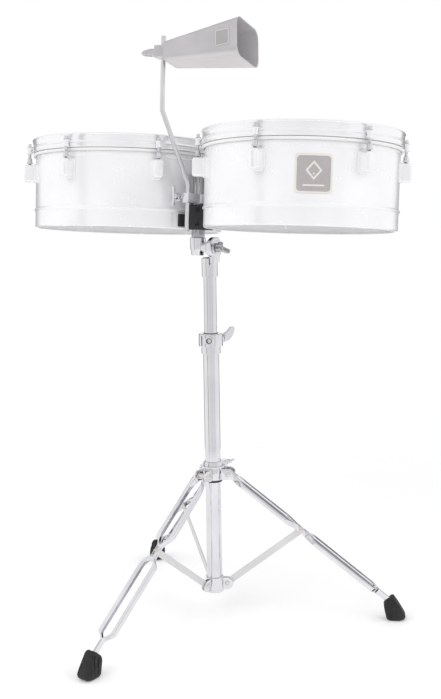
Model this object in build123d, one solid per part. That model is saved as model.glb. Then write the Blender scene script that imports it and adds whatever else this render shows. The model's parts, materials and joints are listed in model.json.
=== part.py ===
"""Timbales: two single-headed metal drums and a cowbell on a tilting tripod stand.

Millimetres, +Z up. The stand is built round its own tube axis, and the drum carrier in
the tilted frame of the hinge under it. Everything is then moved so that the origin is
on the floor under the middle of the whole object.
"""
from build123d import *
from math import atan2, cos, degrees, hypot, radians, sin
import os

# ---- driving dimensions: stand ----
TUBE_R = 14.3
TUBE_BORE_R = 12.7
TUBE_BOTTOM = 47.0
TUBE_TOP = 508.0
COLUMN_R = 11.4
COLUMN_WALL = 1.6
COLUMN_BOTTOM = 200.0
COLUMN_TOP = 650.0

LEG_AZIMUTHS = (351.9, 231.9, 111.9)
LEG_PIVOT_R = 30.0
LEG_PIVOT_Z = 268.0
BRACE_PIVOT_R = 24.0
BRACE_PIVOT_Z = 60.0
KNEE_R = 160.5
KNEE_Z = 163.5
LEG_TAIL = 374.0
STRAP = 2.0
STRAP_FLAT = 10.8
STRAP_FOLDED = 8.4
STRAP_FLANGE = 7.0
BRACE_THICK = 3.2
BRACE_WIDE = 12.0
RIVET_R = 3.0

# ---- driving dimensions: tilting drum carrier ----
PIVOT_Z = 679.4
CARRIER_TURN = -36.5
CARRIER_TILT = -4.16
POST_X, POST_Y = -23.5, -3.0
POST_R = 11.8
POST_TOP = 132.0
SHELL_BOTTOM = 32.0
SHELL_WALL = 1.5
SHELL_TALL = 152.0
HOOP_TALL = 25.0
HOOP_TOP = 162.0
BEAD_Z = 33.0
INCH = 25.4
LEFT = dict(name="left", r=7.0 * INCH, x=-216.0, y=31.0, lugs=7, lug_turn=1.5, badge=False)
RIGHT = dict(name="right", r=6.5 * INCH, x=167.8, y=31.0, lugs=6, lug_turn=-3.0, badge=True)
DRUMS = (LEFT, RIGHT)
BOLT_OUT = 12.0
BOLT_R = 2.9

# ---- driving dimensions: cowbell ----
ROD_R = 4.0
ROD_FOOT = (-20.5, -40.0, 26.0)
ROD_LOW_BEND = (-20.5, -40.0, 109.0)
ROD_HIGH_BEND = (-47.8, -82.5, 233.0)
ROD_TIP = (-47.8, -82.5, 358.0)
BELL_TURN = 11.1
BELL_ROLL, BELL_PITCH = -5.5, -4.6
BELL_AHEAD, BELL_DOWN = 1.0, 6.0
BELL_Z = 331.0
BELL_LONG = 146.0
BELL_WALL = 1.6
BELL_END = (55.0, 34.5, 9.6)
BELL_MOUTH = (92.5, 66.5, 16.8)
BELL_OFFSET = 10.8

PAST = 1.0
FREE = 0.35
FIT = 0.05
SAG = 0.15

carrier = Location((0, 0, PIVOT_Z)) * Rot(0, 0, CARRIER_TURN) * Rot(CARRIER_TILT, 0, 0)
parts = {}


# ---- plain helpers ----
def cyl(r, z0, z1, x=0.0, y=0.0):
    """Upright cylinder from z0 to z1."""
    return Pos(x, y, z0) * Cylinder(r, z1 - z0, align=(Align.CENTER, Align.CENTER, Align.MIN))


def ring(outer, inner, z0, z1, x=0.0, y=0.0):
    """Upright tube from z0 to z1."""
    return cyl(outer, z0, z1, x, y) - cyl(inner, z0 - PAST, z1 + PAST, x, y)


def block(x0, x1, y0, y1, z0, z1):
    """Box between two corners."""
    middle = Pos((x0 + x1) / 2, (y0 + y1) / 2, (z0 + z1) / 2)
    return middle * Box(x1 - x0, y1 - y0, z1 - z0)


def along_x(r, x0, x1, y=0.0, z=0.0):
    """Cylinder with its axis along X."""
    lying = Cylinder(r, x1 - x0, rotation=(0, 90, 0))
    return Pos((x0 + x1) / 2, y, z) * lying


def along_y(r, y0, y1, x=0.0, z=0.0):
    """Cylinder with its axis along Y."""
    lying = Cylinder(r, y1 - y0, rotation=(90, 0, 0))
    return Pos(x, (y0 + y1) / 2, z) * lying


def turned(points):
    """Solid of revolution about Z from an outline of (r, z) points."""
    outline = Polyline(*[(r, 0, z) for r, z in points], close=True)
    return revolve(make_face(outline), Axis.Z, 360)


def plate(points, thick):
    """Flat plate in the XZ plane, centred on Y = 0, from its outline of (x, z) points."""
    outline = Polyline(*[(x, 0, z) for x, z in points], close=True)
    return extrude(make_face(outline), amount=thick / 2, dir=(0, 1, 0), both=True)


def radial(azimuth):
    """Location that turns +X to the given azimuth about the vertical axis."""
    return Rot(0, 0, azimuth)


def group(solids):
    """Identical pieces kept as separate solids of one node."""
    found = []
    for piece in solids:
        found.extend(piece.solids())
    return Compound(found)


def add(name, shape, place=None):
    """File a finished sub-part under its node name."""
    parts[name] = shape if place is None else place * shape


def wing_screw(shank_r, shank, neck, span, reach, thick):
    """Wing screw along +X: shank behind the origin, hub and two wings ahead of it."""
    hub_r = 0.28 * span
    screw = along_x(shank_r, -shank, neck) + along_x(hub_r, 0, 0.62 * reach)
    outline = (
        (0.12 * reach, -0.2 * span),
        (0.55 * reach, -0.5 * span),
        (reach, -0.5 * span),
        (0.7 * reach, 0.0),
        (reach, 0.5 * span),
        (0.55 * reach, 0.5 * span),
        (0.12 * reach, 0.2 * span),
    )
    return screw + plate(outline, thick)


# ---- stand: fixed column ----
EAR_R = 10.0
EAR_IN = 6.4
EAR_THICK = 2.6


def ears(pivot_r, pivot_z, root_r, inside, thick, ear_r, tall):
    """One pair of ears that reaches out along +X and holds a rivet across it."""
    pair = []
    for side in (-1, 1):
        middle = side * (inside + thick / 2)
        tongue = block(root_r, pivot_r, middle - thick / 2, middle + thick / 2,
                       pivot_z - tall / 2, pivot_z + tall / 2)
        tip = along_y(ear_r, middle - thick / 2, middle + thick / 2, pivot_r, pivot_z)
        pair.append(tongue + tip)
    both = pair[0] + pair[1]
    return both - along_y(RIVET_R + FIT, -inside - 2 * thick, inside + 2 * thick, pivot_r, pivot_z)


def rivet(pivot_r, pivot_z, half, shank_r=RIVET_R):
    """Round-headed rivet along Y."""
    head_r = 1.6 * shank_r
    body = along_y(shank_r, -half, half, pivot_r, pivot_z)
    for side in (-1, 1):
        inner = side * half
        outer = side * (half + 1.8)
        body += along_y(head_r, min(inner, outer), max(inner, outer), pivot_r, pivot_z)
    return body


LOW_BAND_Z0, LOW_BAND_Z1 = 44.0, 72.0
LOW_EAR_IN = 2.2
LOW_EAR_THICK = 2.2


def lower_collar():
    """Pressed band round the foot of the tube with three pairs of ears for the braces."""
    band = cyl(TUBE_R + 3.0, LOW_BAND_Z0, LOW_BAND_Z1)
    for azimuth in LEG_AZIMUTHS:
        band += radial(azimuth) * ears(BRACE_PIVOT_R, BRACE_PIVOT_Z - 1.0, TUBE_R,
                                       LOW_EAR_IN, LOW_EAR_THICK, 11.0, 22.0)
        band -= radial(azimuth) * along_y(RIVET_R + FIT, -9, 9, BRACE_PIVOT_R, BRACE_PIVOT_Z)
    return band - cyl(TUBE_R, LOW_BAND_Z0 - PAST, LOW_BAND_Z1 + PAST)


def lower_collar_rivets():
    half = LOW_EAR_IN + LOW_EAR_THICK
    return group(radial(a) * rivet(BRACE_PIVOT_R, BRACE_PIVOT_Z, half) for a in LEG_AZIMUTHS)


HEIGHT_RING_Z0, HEIGHT_RING_Z1, HEIGHT_TOP = 489.0, 502.5, 526.0
HEIGHT_SCREW_AZ = 35.0
HEIGHT_SCREW_Z = 514.5


def height_collar():
    """Stepped split clamp that sits on top of the lower tube."""
    body = cyl(17.2, HEIGHT_RING_Z0, HEIGHT_RING_Z1) + cyl(21.8, HEIGHT_RING_Z1, HEIGHT_TOP)
    body = fillet(body.edges().filter_by(GeomType.CIRCLE).group_by(Axis.Z)[-1], 1.6)
    boss = radial(HEIGHT_SCREW_AZ) * along_x(7.5, TUBE_R, 25.2, 0, HEIGHT_SCREW_Z)
    cap = radial(262) * along_x(8.4, TUBE_R, 23.4, 0, HEIGHT_SCREW_Z)
    body += boss + cap
    body -= cyl(TUBE_R, HEIGHT_RING_Z0 - PAST, TUBE_TOP)
    body -= cyl(TUBE_BORE_R, TUBE_TOP - PAST, HEIGHT_TOP + PAST)
    slit = radial(222) * block(TUBE_R, 30, -1.2, 1.2, HEIGHT_RING_Z1 + 2, HEIGHT_TOP - 3)
    bore = radial(HEIGHT_SCREW_AZ) * along_x(3.1, TUBE_R, 30, 0, HEIGHT_SCREW_Z)
    socket = radial(262) * along_x(4.4, 19.8, 30, 0, HEIGHT_SCREW_Z)
    return body - slit - bore - socket


def height_collar_pin():
    """Socket-headed pivot pin seen in the front of the clamp."""
    pin = along_x(4.2, 19.9, 22.8, 0, HEIGHT_SCREW_Z)
    return radial(262) * (pin - along_x(2.0, 21.0, 24, 0, HEIGHT_SCREW_Z))


def height_bushing():
    """Plastic sleeve that guides the upper tube."""
    lip = ring(TUBE_BORE_R + 1.0, COLUMN_R + FIT, HEIGHT_TOP, HEIGHT_TOP + 0.8)
    return lip + ring(TUBE_BORE_R, COLUMN_R + FIT, HEIGHT_TOP - 60, HEIGHT_TOP)


def height_wing_screw():
    """Screw with one large paddle that stands up and out."""
    outline = [(2, -7), (12, -4.5), (20, 0), (24, 10), (25, 18), (20, 19.5), (8, 8.5), (2, 7)]
    screw = along_x(3.0, -9, 2) + along_x(7.0, 0, 6) + plate(outline, 5.0)
    return radial(HEIGHT_SCREW_AZ) * Pos(25.8, 0, HEIGHT_SCREW_Z) * screw


def build_column():
    add("lower_tube", ring(TUBE_R, TUBE_BORE_R, TUBE_BOTTOM, TUBE_TOP))
    add("tube_end_plug", cyl(TUBE_BORE_R, TUBE_BOTTOM, TUBE_BOTTOM + 14)
        + cyl(TUBE_R, TUBE_BOTTOM - 3, TUBE_BOTTOM))
    add("lower_collar", lower_collar())
    add("lower_collar_rivets", lower_collar_rivets())
    add("height_collar", height_collar())
    add("height_collar_pin", height_collar_pin())
    add("height_bushing", height_bushing())
    add("height_wing_screw", height_wing_screw())


# ---- stand: sliding hub ----
HUB_Z0, HUB_Z1, LOCK_Z1 = 257.0, 279.0, 291.0
HUB_R = 17.4
HUB_SCREW_AZ = 22.0
HUB_SCREW_Z = 286.4
PLATE_Z0 = 281.0


def hub():
    """Sliding hub with three pairs of ears for the legs."""
    body = cyl(HUB_R, HUB_Z0, HUB_Z1)
    for azimuth in LEG_AZIMUTHS:
        body += radial(azimuth) * ears(LEG_PIVOT_R, LEG_PIVOT_Z, TUBE_R + 2, EAR_IN + 3.0,
                                       EAR_THICK, EAR_R, 20.0)
    return body - cyl(TUBE_R + 0.6, HUB_Z0 - PAST, HUB_Z1 + PAST)


def hub_lock_ring():
    """Split ring above the hub that grips the tube, with a thin flange round it."""
    body = cyl(HUB_R, HUB_Z1, LOCK_Z1) + cyl(22.6, PLATE_Z0, PLATE_Z0 + 2.6)
    body += radial(HUB_SCREW_AZ) * block(TUBE_R + 2, 26.0, -6.5, 6.5, HUB_Z1, LOCK_Z1)
    body = body - cyl(TUBE_R + FIT, HUB_Z1 - PAST, LOCK_Z1 + PAST)
    body -= radial(HUB_SCREW_AZ) * along_x(2.6, TUBE_R, 40, 0, HUB_SCREW_Z)
    return body - radial(205) * block(TUBE_R - 2, 30, -1.0, 1.0, HUB_Z1 - PAST, LOCK_Z1 + PAST)


def build_hub():
    add("hub", hub())
    add("hub_liner", ring(TUBE_R + 2.6, TUBE_R + FIT, HUB_Z0 - 4.0, HUB_Z0))
    half = EAR_IN + 3.0 + EAR_THICK
    add("hub_rivets",
        group(radial(a) * rivet(LEG_PIVOT_R, LEG_PIVOT_Z, half) for a in LEG_AZIMUTHS))
    add("hub_lock_ring", hub_lock_ring())
    screw = wing_screw(2.5, 9.0, 4.0, 17.0, 14.0, 3.6)
    place = radial(HUB_SCREW_AZ) * Pos(26.6, 0, HUB_SCREW_Z) * Rot(60, 0, 0)
    add("hub_wing_screw", screw, place)


# ---- stand: legs and braces ----
LEG_SLOPE = degrees(atan2(LEG_PIVOT_Z - KNEE_Z, KNEE_R - LEG_PIVOT_R))
KNEE = hypot(LEG_PIVOT_Z - KNEE_Z, KNEE_R - LEG_PIVOT_R)
BRACE_SLOPE = degrees(atan2(KNEE_Z - BRACE_PIVOT_Z, KNEE_R - BRACE_PIVOT_R))
BRACE_LONG = hypot(KNEE_Z - BRACE_PIVOT_Z, KNEE_R - BRACE_PIVOT_R)
HUB_GAP = EAR_IN + 3.0 - FREE - STRAP
KNEE_GAP = BRACE_THICK / 2 + FREE
BELLY = 16.0
LOW_SPREAD_0, LOW_SPREAD_1 = KNEE + 33, 330.0
TOP_SPREAD_0, TOP_SPREAD_1 = 36.0, KNEE - 35
TAIL_START = 346.0


def strap():
    """One pressed strap on the +Y side: X runs from hub to foot, Z across its face."""
    inner = [(-8, HUB_GAP), (10, HUB_GAP), (TOP_SPREAD_0, BELLY), (TOP_SPREAD_1, BELLY),
             (KNEE - 9, KNEE_GAP), (KNEE + 9, KNEE_GAP), (LOW_SPREAD_0, BELLY),
             (LOW_SPREAD_1, BELLY), (TAIL_START, FREE), (LEG_TAIL, FREE)]
    outer = [(x, y + STRAP) for x, y in reversed(inner)]
    ribbon = Polyline(*[(x, y, 0) for x, y in inner + outer], close=True)
    ribbon = extrude(make_face(ribbon), amount=STRAP_FLAT, dir=(0, 0, 1), both=True)
    folded, flat = STRAP_FOLDED / 2, STRAP_FLAT / 2
    edge = [(-8, flat), (18, flat), (TOP_SPREAD_0, folded), (TOP_SPREAD_1, folded),
            (KNEE - 14, flat), (KNEE + 14, flat), (LOW_SPREAD_0, folded),
            (LOW_SPREAD_1, folded), (TAIL_START, flat), (LEG_TAIL, flat)]
    face = edge + [(x, -z) for x, z in reversed(edge)]
    body = ribbon & (Pos(0, BELLY, 0) * plate(face, 4 * BELLY))
    flange_in = BELLY + STRAP - STRAP_FLANGE
    for x0, x1 in ((TOP_SPREAD_0, TOP_SPREAD_1), (LOW_SPREAD_0, LOW_SPREAD_1)):
        for side in (-1, 1):
            z = side * (folded - STRAP / 2)
            body += block(x0, x1, flange_in, BELLY + STRAP / 2, z - STRAP / 2, z + STRAP / 2)
    return body - along_y(RIVET_R + FIT, 0, 20, 0, 0)


def leg_straps():
    one = strap()
    return group([one, mirror(one, Plane.XZ)])


def leg_hardware():
    """Spacer tube at the hub and two stub rivets at the knee."""
    spacer = along_y(5.0, -HUB_GAP, HUB_GAP) - along_y(RIVET_R + FIT, -12, 12)
    pieces = [spacer]
    for side in (-1, 1):
        y0, y1 = sorted((side * (KNEE_GAP + STRAP), side * (KNEE_GAP + STRAP + 1.9)))
        pieces.append(along_y(4.8, y0, y1, KNEE, 0))
    return group(pieces)


def leg_foot():
    """Flared rubber boot over the tail, in the leg's upright plane (X is the radius)."""
    profile = [(308.5, 30.5), (327.0, 47.0), (338.0, 30.0), (350.5, 9.0), (347.5, 3.0),
               (338.0, 0.0), (322.0, 0.0), (315.0, 2.5)]
    boot = plate(profile, 27.0)
    boot = fillet(boot.edges().filter_by(Axis.Y), 1.2)
    for side in (-1, 1):
        taper = Pos(0, side * 21.5, 30.0) * Rot(side * 9, 0, 0)
        boot -= taper * Box(90, 12, 90)
    pocket = block(250, LEG_TAIL, -STRAP - FREE, STRAP + FREE, -STRAP_FLAT / 2, STRAP_FLAT / 2)
    return boot - Pos(LEG_PIVOT_R, 0, LEG_PIVOT_Z) * Rot(0, LEG_SLOPE, 0) * pocket


def brace():
    """Flat bar from the lower collar to the knee, X along it."""
    bar = block(0, BRACE_LONG, -BRACE_THICK / 2, BRACE_THICK / 2, -BRACE_WIDE / 2, BRACE_WIDE / 2)
    for x in (0, BRACE_LONG):
        bar += along_y(BRACE_WIDE / 2, -BRACE_THICK / 2, BRACE_THICK / 2, x, 0)
    for x in (0, BRACE_LONG):
        bar -= along_y(RIVET_R + FIT, -BRACE_THICK, BRACE_THICK, x, 0)
    return bar


def build_legs():
    straps, hardware, foot, bar = leg_straps(), leg_hardware(), leg_foot(), brace()
    for number, azimuth in enumerate(LEG_AZIMUTHS, start=1):
        hinge = radial(azimuth) * Pos(LEG_PIVOT_R, 0, LEG_PIVOT_Z) * Rot(0, LEG_SLOPE, 0)
        low = radial(azimuth) * Pos(BRACE_PIVOT_R, 0, BRACE_PIVOT_Z) * Rot(0, -BRACE_SLOPE, 0)
        add(f"leg_{number}_straps", straps, hinge)
        add(f"leg_{number}_hardware", hardware, hinge)
        add(f"leg_{number}_foot", foot, radial(azimuth))
        add(f"leg_{number}_brace", bar, low)


# ---- upper column and tilter ----
SLEEVE_Z0, SLEEVE_Z1 = 627.5, 662.2
SLEEVE_R = 14.2
DISC_R = 18.8
DISC_X0, DISC_X1 = 5.4, 17.0
JOINT_X0 = 3.2
HEAD_R = 14.4
HEAD_Z0, HEAD_Z1 = -13.5, 17.5
NECK_R = 11.0
POST_BOTTOM = 6.0


def tilter_base():
    """Split sleeve on the upper tube with the fixed half of the tilting joint."""
    sleeve = cyl(SLEEVE_R, SLEEVE_Z0, SLEEVE_Z1)
    hinge = Pos(0, 0, PIVOT_Z) * Rot(0, 0, CARRIER_TURN)
    disc = hinge * along_x(DISC_R, DISC_X0, DISC_X1)
    web = hinge * block(DISC_X0, DISC_X1, -10, 10, SLEEVE_Z1 - PIVOT_Z - 8, 0)
    web = web & cyl(SLEEVE_R, SLEEVE_Z0, PIVOT_Z)
    teeth = hinge * along_x(DISC_R - 4.5, JOINT_X0, DISC_X0)
    body = sleeve + disc + web + teeth
    body -= cyl(COLUMN_R, SLEEVE_Z0 - PAST, COLUMN_TOP)
    body -= hinge * along_x(4.05, JOINT_X0 - PAST, DISC_X1 + PAST)
    slit = block(-0.8, 0.8, -30, 0, SLEEVE_Z0 - PAST, SLEEVE_Z1 - 6)
    return body - slit


def tilter_head():
    """Moving half of the joint: an upright cup for the post, with a toothed neck to one side."""
    cup = cyl(HEAD_R, HEAD_Z0, HEAD_Z1, POST_X, POST_Y)
    neck = along_x(NECK_R, POST_X, JOINT_X0 - FREE)
    flange = along_x(DISC_R - 4.5, JOINT_X0 - FREE - 3.5, JOINT_X0 - FREE)
    body = cup + neck + flange
    body -= cyl(POST_R, POST_BOTTOM, HEAD_Z1 + PAST, POST_X, POST_Y)
    return body - along_x(4.0 + FIT, POST_X - HEAD_R - 10, JOINT_X0)


def tilter_wing_bolt():
    """Wing bolt through both halves of the joint."""
    screw = wing_screw(4.0, 58.0, 6.0, 30.0, 19.0, 6.4)
    return Pos(DISC_X1 + FREE, 0, 0) * Rot(62, 0, 0) * screw


def build_upper_column():
    add("upper_tube", ring(COLUMN_R, COLUMN_R - COLUMN_WALL, COLUMN_BOTTOM, COLUMN_TOP))
    add("tilter_base", tilter_base())
    lug_screw = Pos(0, -SLEEVE_R - 1.2, 645.0) * Cylinder(3.2, 4.0, rotation=(90, 0, 0))
    add("sleeve_screw", lug_screw & cyl(30, 600, 700) - cyl(SLEEVE_R, 600, 700))
    add("tilter_head", tilter_head(), carrier)
    add("tilter_wing_bolt", tilter_wing_bolt(), carrier)


# ---- drum carrier ----
BLOCK_Z0, BLOCK_Z1 = 31.0, 75.5
BRACKET_THICK = 4.0
BRACKET_Z0, BRACKET_Z1 = 36.0, 58.0


def to_post(drum):
    """Azimuth, in the carrier's frame, from a drum's axis to the post."""
    return degrees(atan2(POST_Y - drum["y"], POST_X - drum["x"]))


def sector(drum, r0, r1, z0, z1, half_width, shift=0.0):
    """Curved plate round a drum's axis, facing the post."""
    plate_ring = ring(r1, r0, z0, z1)
    window = block(0, 400, -half_width + shift, half_width + shift, z0 - PAST, z1 + PAST)
    return Pos(drum["x"], drum["y"], 0) * radial(to_post(drum)) * (plate_ring & window)


def mount_block():
    """Cast block on the post; its two hollow flanks seat the drum brackets."""
    body = block(POST_X - 16, POST_X + 22, POST_Y - 15.5, POST_Y + 17, BLOCK_Z0, BLOCK_Z1)
    body = fillet(body.edges().filter_by(Axis.Z), 2.5)
    for drum in DRUMS:
        body -= cyl(drum["r"] + BRACKET_THICK + 0.1, 0, 200, drum["x"], drum["y"])
    return body - cyl(POST_R, 0, 200, POST_X, POST_Y)


def bracket(drum):
    """Black bracket screwed to the shell, with a foot that reaches the block."""
    half = 31.0 if drum is LEFT else 22.0
    body = sector(drum, drum["r"], drum["r"] + BRACKET_THICK, BRACKET_Z0, BRACKET_Z1, half)
    for side in (-1, 1):
        body -= drum_screw_bore(drum, side)
    return body


def drum_screw_bore(drum, side):
    turn = to_post(drum) + side * degrees(14.0 / drum["r"])
    bore = along_x(2.6, drum["r"] - 6, drum["r"] + 12, 0, (BRACKET_Z0 + BRACKET_Z1) / 2)
    return Pos(drum["x"], drum["y"], 0) * radial(turn) * bore


def bracket_screws():
    """Pan-headed screws, from inside each shell through it into its bracket."""
    screws = []
    for drum in DRUMS:
        for side in (-1, 1):
            turn = to_post(drum) + side * degrees(14.0 / drum["r"])
            z = (BRACKET_Z0 + BRACKET_Z1) / 2
            inside = drum["r"] - SHELL_WALL - SAG
            screw = along_x(2.5, inside, drum["r"] + BRACKET_THICK - 0.4, 0, z)
            screw += along_x(5.0, inside - 2.4, inside, 0, z)
            screws.append(Pos(drum["x"], drum["y"], 0) * radial(turn) * screw)
    return group(screws)


def block_screws():
    """Two socket screws in the front of the block that clamp it on the post."""
    front = POST_Y - 15.5
    screws = []
    for z in (BLOCK_Z0 + 9, BLOCK_Z1 - 9):
        head = along_y(3.6, front - 2.4, front, POST_X + 8, z)
        screws.append(head - along_y(1.7, front - 3, front - 0.8, POST_X + 8, z))
    return group(screws)


def build_carrier():
    add("drum_post", cyl(POST_R, POST_BOTTOM, POST_TOP, POST_X, POST_Y), carrier)
    add("mount_block", mount_block(), carrier)
    add("block_screws", block_screws(), carrier)
    for drum in DRUMS:
        add(drum["name"] + "_drum_bracket", bracket(drum), carrier)
    add("bracket_screws", bracket_screws(), carrier)


# ---- drums, each built round its own axis with its lower edge at Z = 0 ----
LUG_Z0, LUG_Z1 = 83.0, 119.5
LUG_WIDE = 20.0
LUG_DEEP = 21.0
INSERT_Z1 = 129.5
HOOP_Z0 = HOOP_TOP - HOOP_TALL
STEP_Z = HOOP_TOP - 14.6
FLESH_Z0, FLESH_Z1 = 131.0, HOOP_Z0 - 0.3


def shell(r):
    """Thin cylinder with a round bead low down, a fine bead high up and rolled edges."""
    w = SHELL_WALL
    outside = [(r - 5, 0), (r - 1.2, 0.8), (r, 3), (r, BEAD_Z - 4), (r + 2.4, BEAD_Z - 1.6),
               (r + 2.4, BEAD_Z + 1.6), (r, BEAD_Z + 4), (r, LUG_Z1 + 1), (r + 0.9, LUG_Z1 + 3),
               (r + 0.9, LUG_Z1 + 4), (r, LUG_Z1 + 6), (r, SHELL_TALL - 4), (r - 3.5, SHELL_TALL)]
    inside = [(r - 5.5, SHELL_TALL - 1.4), (r - w, SHELL_TALL - 5), (r - w, LUG_Z1 + 6.5),
              (r - w + 0.9, LUG_Z1 + 4), (r - w + 0.9, LUG_Z1 + 3), (r - w, LUG_Z1 + 0.5),
              (r - w, BEAD_Z + 4.5),
              (r - w + 2.2, BEAD_Z + 1.4), (r - w + 2.2, BEAD_Z - 1.4), (r - w, BEAD_Z - 4.5),
              (r - w, 4), (r - 2.4, 2.2), (r - 5, 1.5)]
    return turned(outside + inside)


def drumhead(r):
    """Plastic film stretched over the top edge, and the metal flesh hoop it is held by."""
    film = turned([(0, SHELL_TALL + 0.3), (r - 3.4, SHELL_TALL + 0.3), (r + 0.5, SHELL_TALL - 4),
                   (r + 0.5, FLESH_Z1), (r + 1.1, FLESH_Z1), (r + 1.1, SHELL_TALL - 3.6),
                   (r - 3.1, SHELL_TALL + 1.0), (0, SHELL_TALL + 1.0)])
    return film + ring(r + 5.6, r + 0.5, FLESH_Z0, FLESH_Z1)


def counter_hoop(r):
    """Stepped steel hoop: a beaded upright rim, and below it a wider band with a ledge."""
    ledge = STEP_Z - 1.6
    return turned([(r + 4.4, HOOP_Z0), (r + 6.0, HOOP_Z0), (r + 6.0, ledge), (r + 7.0, ledge),
                   (r + 7.0, HOOP_Z0), (r + 8.6, HOOP_Z0), (r + 8.6, STEP_Z), (r + 6.0, STEP_Z),
                   (r + 6.0, HOOP_TOP - 3.2), (r + 7.2, HOOP_TOP - 2.4), (r + 7.2, HOOP_TOP - 0.8),
                   (r + 6.4, HOOP_TOP), (r + 5.2, HOOP_TOP), (r + 4.4, HOOP_TOP - 0.8)])


def claw(r):
    """Claw on the hoop's ledge with a boss round the tension bolt."""
    axis = r + BOLT_OUT
    lip = block(r + 6.3, axis, -5.5, 5.5, STEP_Z, STEP_Z + 2.6)
    cheek = block(r + 8.8, r + 10.6, -5.5, 5.5, HOOP_Z0 + 1, STEP_Z + 1)
    boss = cyl(5.2, HOOP_Z0 + 4, STEP_Z + 2.6, axis)
    boss -= block(r, r + 8.8, -9, 9, 0, STEP_Z)
    return lip + cheek + boss - cyl(BOLT_R + FIT, 0, 200, axis)


def tension_bolt(r):
    """Bolt with a round collar and a square key head."""
    axis = r + BOLT_OUT
    top = STEP_Z + 2.6
    bolt = cyl(BOLT_R, LUG_Z0 + 8, top, axis) + cyl(4.8, top, top + 1.4, axis)
    return bolt + block(axis - 2.9, axis + 2.9, -2.9, 2.9, top + 1.4, top + 6.6)


def lug(r):
    """Rounded box lug on a wider base, bored from above for the insert."""
    body = block(r - 4, r + LUG_DEEP, -LUG_WIDE / 2, LUG_WIDE / 2, LUG_Z0, LUG_Z1)
    body = fillet(body.edges().filter_by(Axis.X).group_by(Axis.Z)[0], 6.0)
    body = fillet(body.edges().filter_by(Axis.X).group_by(Axis.Z)[-1], 2.0)
    body = fillet(body.edges().group_by(Axis.X)[-1], 2.0)
    base = block(r - 4, r + 2.4, -LUG_WIDE / 2 - 2, LUG_WIDE / 2 + 2, LUG_Z0, LUG_Z1)
    body += fillet(base.edges().filter_by(Axis.X), 6.0)
    body -= cyl(r, 0, 200)
    return body - cyl(5.0, LUG_Z0 + 6, LUG_Z1 + PAST, r + BOLT_OUT)


def lug_insert(r):
    """Threaded bush that stands out of the lug."""
    axis = r + BOLT_OUT
    bush = cyl(4.95, LUG_Z1 - 18, LUG_Z1, axis) + cyl(6.2, LUG_Z1, LUG_Z1 + 3, axis)
    bush += cyl(5.2, LUG_Z1 + 3, INSERT_Z1, axis)
    return bush - cyl(BOLT_R + FIT, 0, 200, axis)


def lug_screws(r):
    """Two screws with washers that hold one lug from inside the shell."""
    pair = []
    inside = r - SHELL_WALL - SAG
    for z in (LUG_Z0 + 8.5, LUG_Z1 - 8.5):
        screw = along_x(2.5, inside, r + 5, 0, z)
        screw += along_x(6.0, inside - 1.2, inside, 0, z)
        screw += along_x(4.2, inside - 4.2, inside - 1.2, 0, z)
        pair.append(screw)
    return pair


def lug_angles(drum):
    """Lugs stand evenly round the shell, with the bracket about midway between two of them."""
    step = 360.0 / drum["lugs"]
    first = to_post(drum) + drum["lug_turn"] + step / 2
    return [first + step * n for n in range(drum["lugs"])]


BADGE_ANGLE = -52.0
BADGE_WIDE = 58.0
BADGE_Z0, BADGE_Z1 = 50.0, 110.0


def badge(drum):
    """Curved square badge riveted to the front of the shell."""
    curved = ring(drum["r"] + 0.9, drum["r"], BADGE_Z0, BADGE_Z1)
    window = block(0, 300, -BADGE_WIDE / 2, BADGE_WIDE / 2, BADGE_Z0, BADGE_Z1)
    window = fillet(window.edges().filter_by(Axis.X), 6.0)
    return radial(BADGE_ANGLE) * (curved & window)


def build_drum(drum):
    name, r = drum["name"], drum["r"]
    seat = carrier * Pos(drum["x"], drum["y"], SHELL_BOTTOM)
    angles = lug_angles(drum)
    wall = shell(r)
    for a in angles:
        for z in (LUG_Z0 + 8.5, LUG_Z1 - 8.5):
            wall -= radial(a) * along_x(2.55, r - 6, r + 3, 0, z)
    unseat = Pos(-drum["x"], -drum["y"], -SHELL_BOTTOM)
    for side in (-1, 1):
        wall -= unseat * drum_screw_bore(drum, side)
    add(name + "_shell", wall, seat)
    add(name + "_drumhead", drumhead(r), seat)
    add(name + "_counter_hoop", counter_hoop(r), seat)
    for label, piece in (("claws", claw(r)), ("tension_bolts", tension_bolt(r)),
                         ("lugs", lug_with_bores(r)), ("lug_inserts", lug_insert(r))):
        add(f"{name}_{label}", group(radial(a) * piece for a in angles), seat)
    pair = lug_screws(r)
    add(name + "_lug_screws", group(radial(a) * s for a in angles for s in pair), seat)
    if drum["badge"]:
        add(name + "_badge", badge(drum), seat)


def lug_with_bores(r):
    body = lug(r)
    for z in (LUG_Z0 + 8.5, LUG_Z1 - 8.5):
        body -= along_x(2.55, r - 6, r + 5, 0, z)
    return body


# ---- cowbell, its rod and its clamp ----
CLAMP_Z0, CLAMP_Z1 = 76.5, 93.5
CLAMP_Z = (CLAMP_Z0 + CLAMP_Z1) / 2
NUT_OUT = 17.0
NUT_UP = 3.0
JAW_HALF = 7.0


def cowbell_clamp():
    """Split ring round the post; its jaw takes the rod and ends in two ears on the left."""
    x, y = ROD_FOOT[0], ROD_FOOT[1]
    body = cyl(POST_R + 3.0, CLAMP_Z0, CLAMP_Z1, POST_X, POST_Y)
    body += block(x - JAW_HALF, x + JAW_HALF, y - JAW_HALF, POST_Y - POST_R + 1, CLAMP_Z0, CLAMP_Z1)
    body += block(x - NUT_OUT - 6.5, x, y - JAW_HALF, y + JAW_HALF, CLAMP_Z0 + 3, CLAMP_Z1)
    body -= cyl(POST_R + FIT, 0, 200, POST_X, POST_Y)
    body -= cyl(ROD_R + FIT, 0, 200, x, y)
    body -= block(x - NUT_OUT - 10, x + 5.0, y - 1.0, y + 1.0, CLAMP_Z0 - PAST, CLAMP_Z1 + PAST)
    return body - along_y(2.6, y - 20, y + 20, x - NUT_OUT, CLAMP_Z + NUT_UP)


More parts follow.
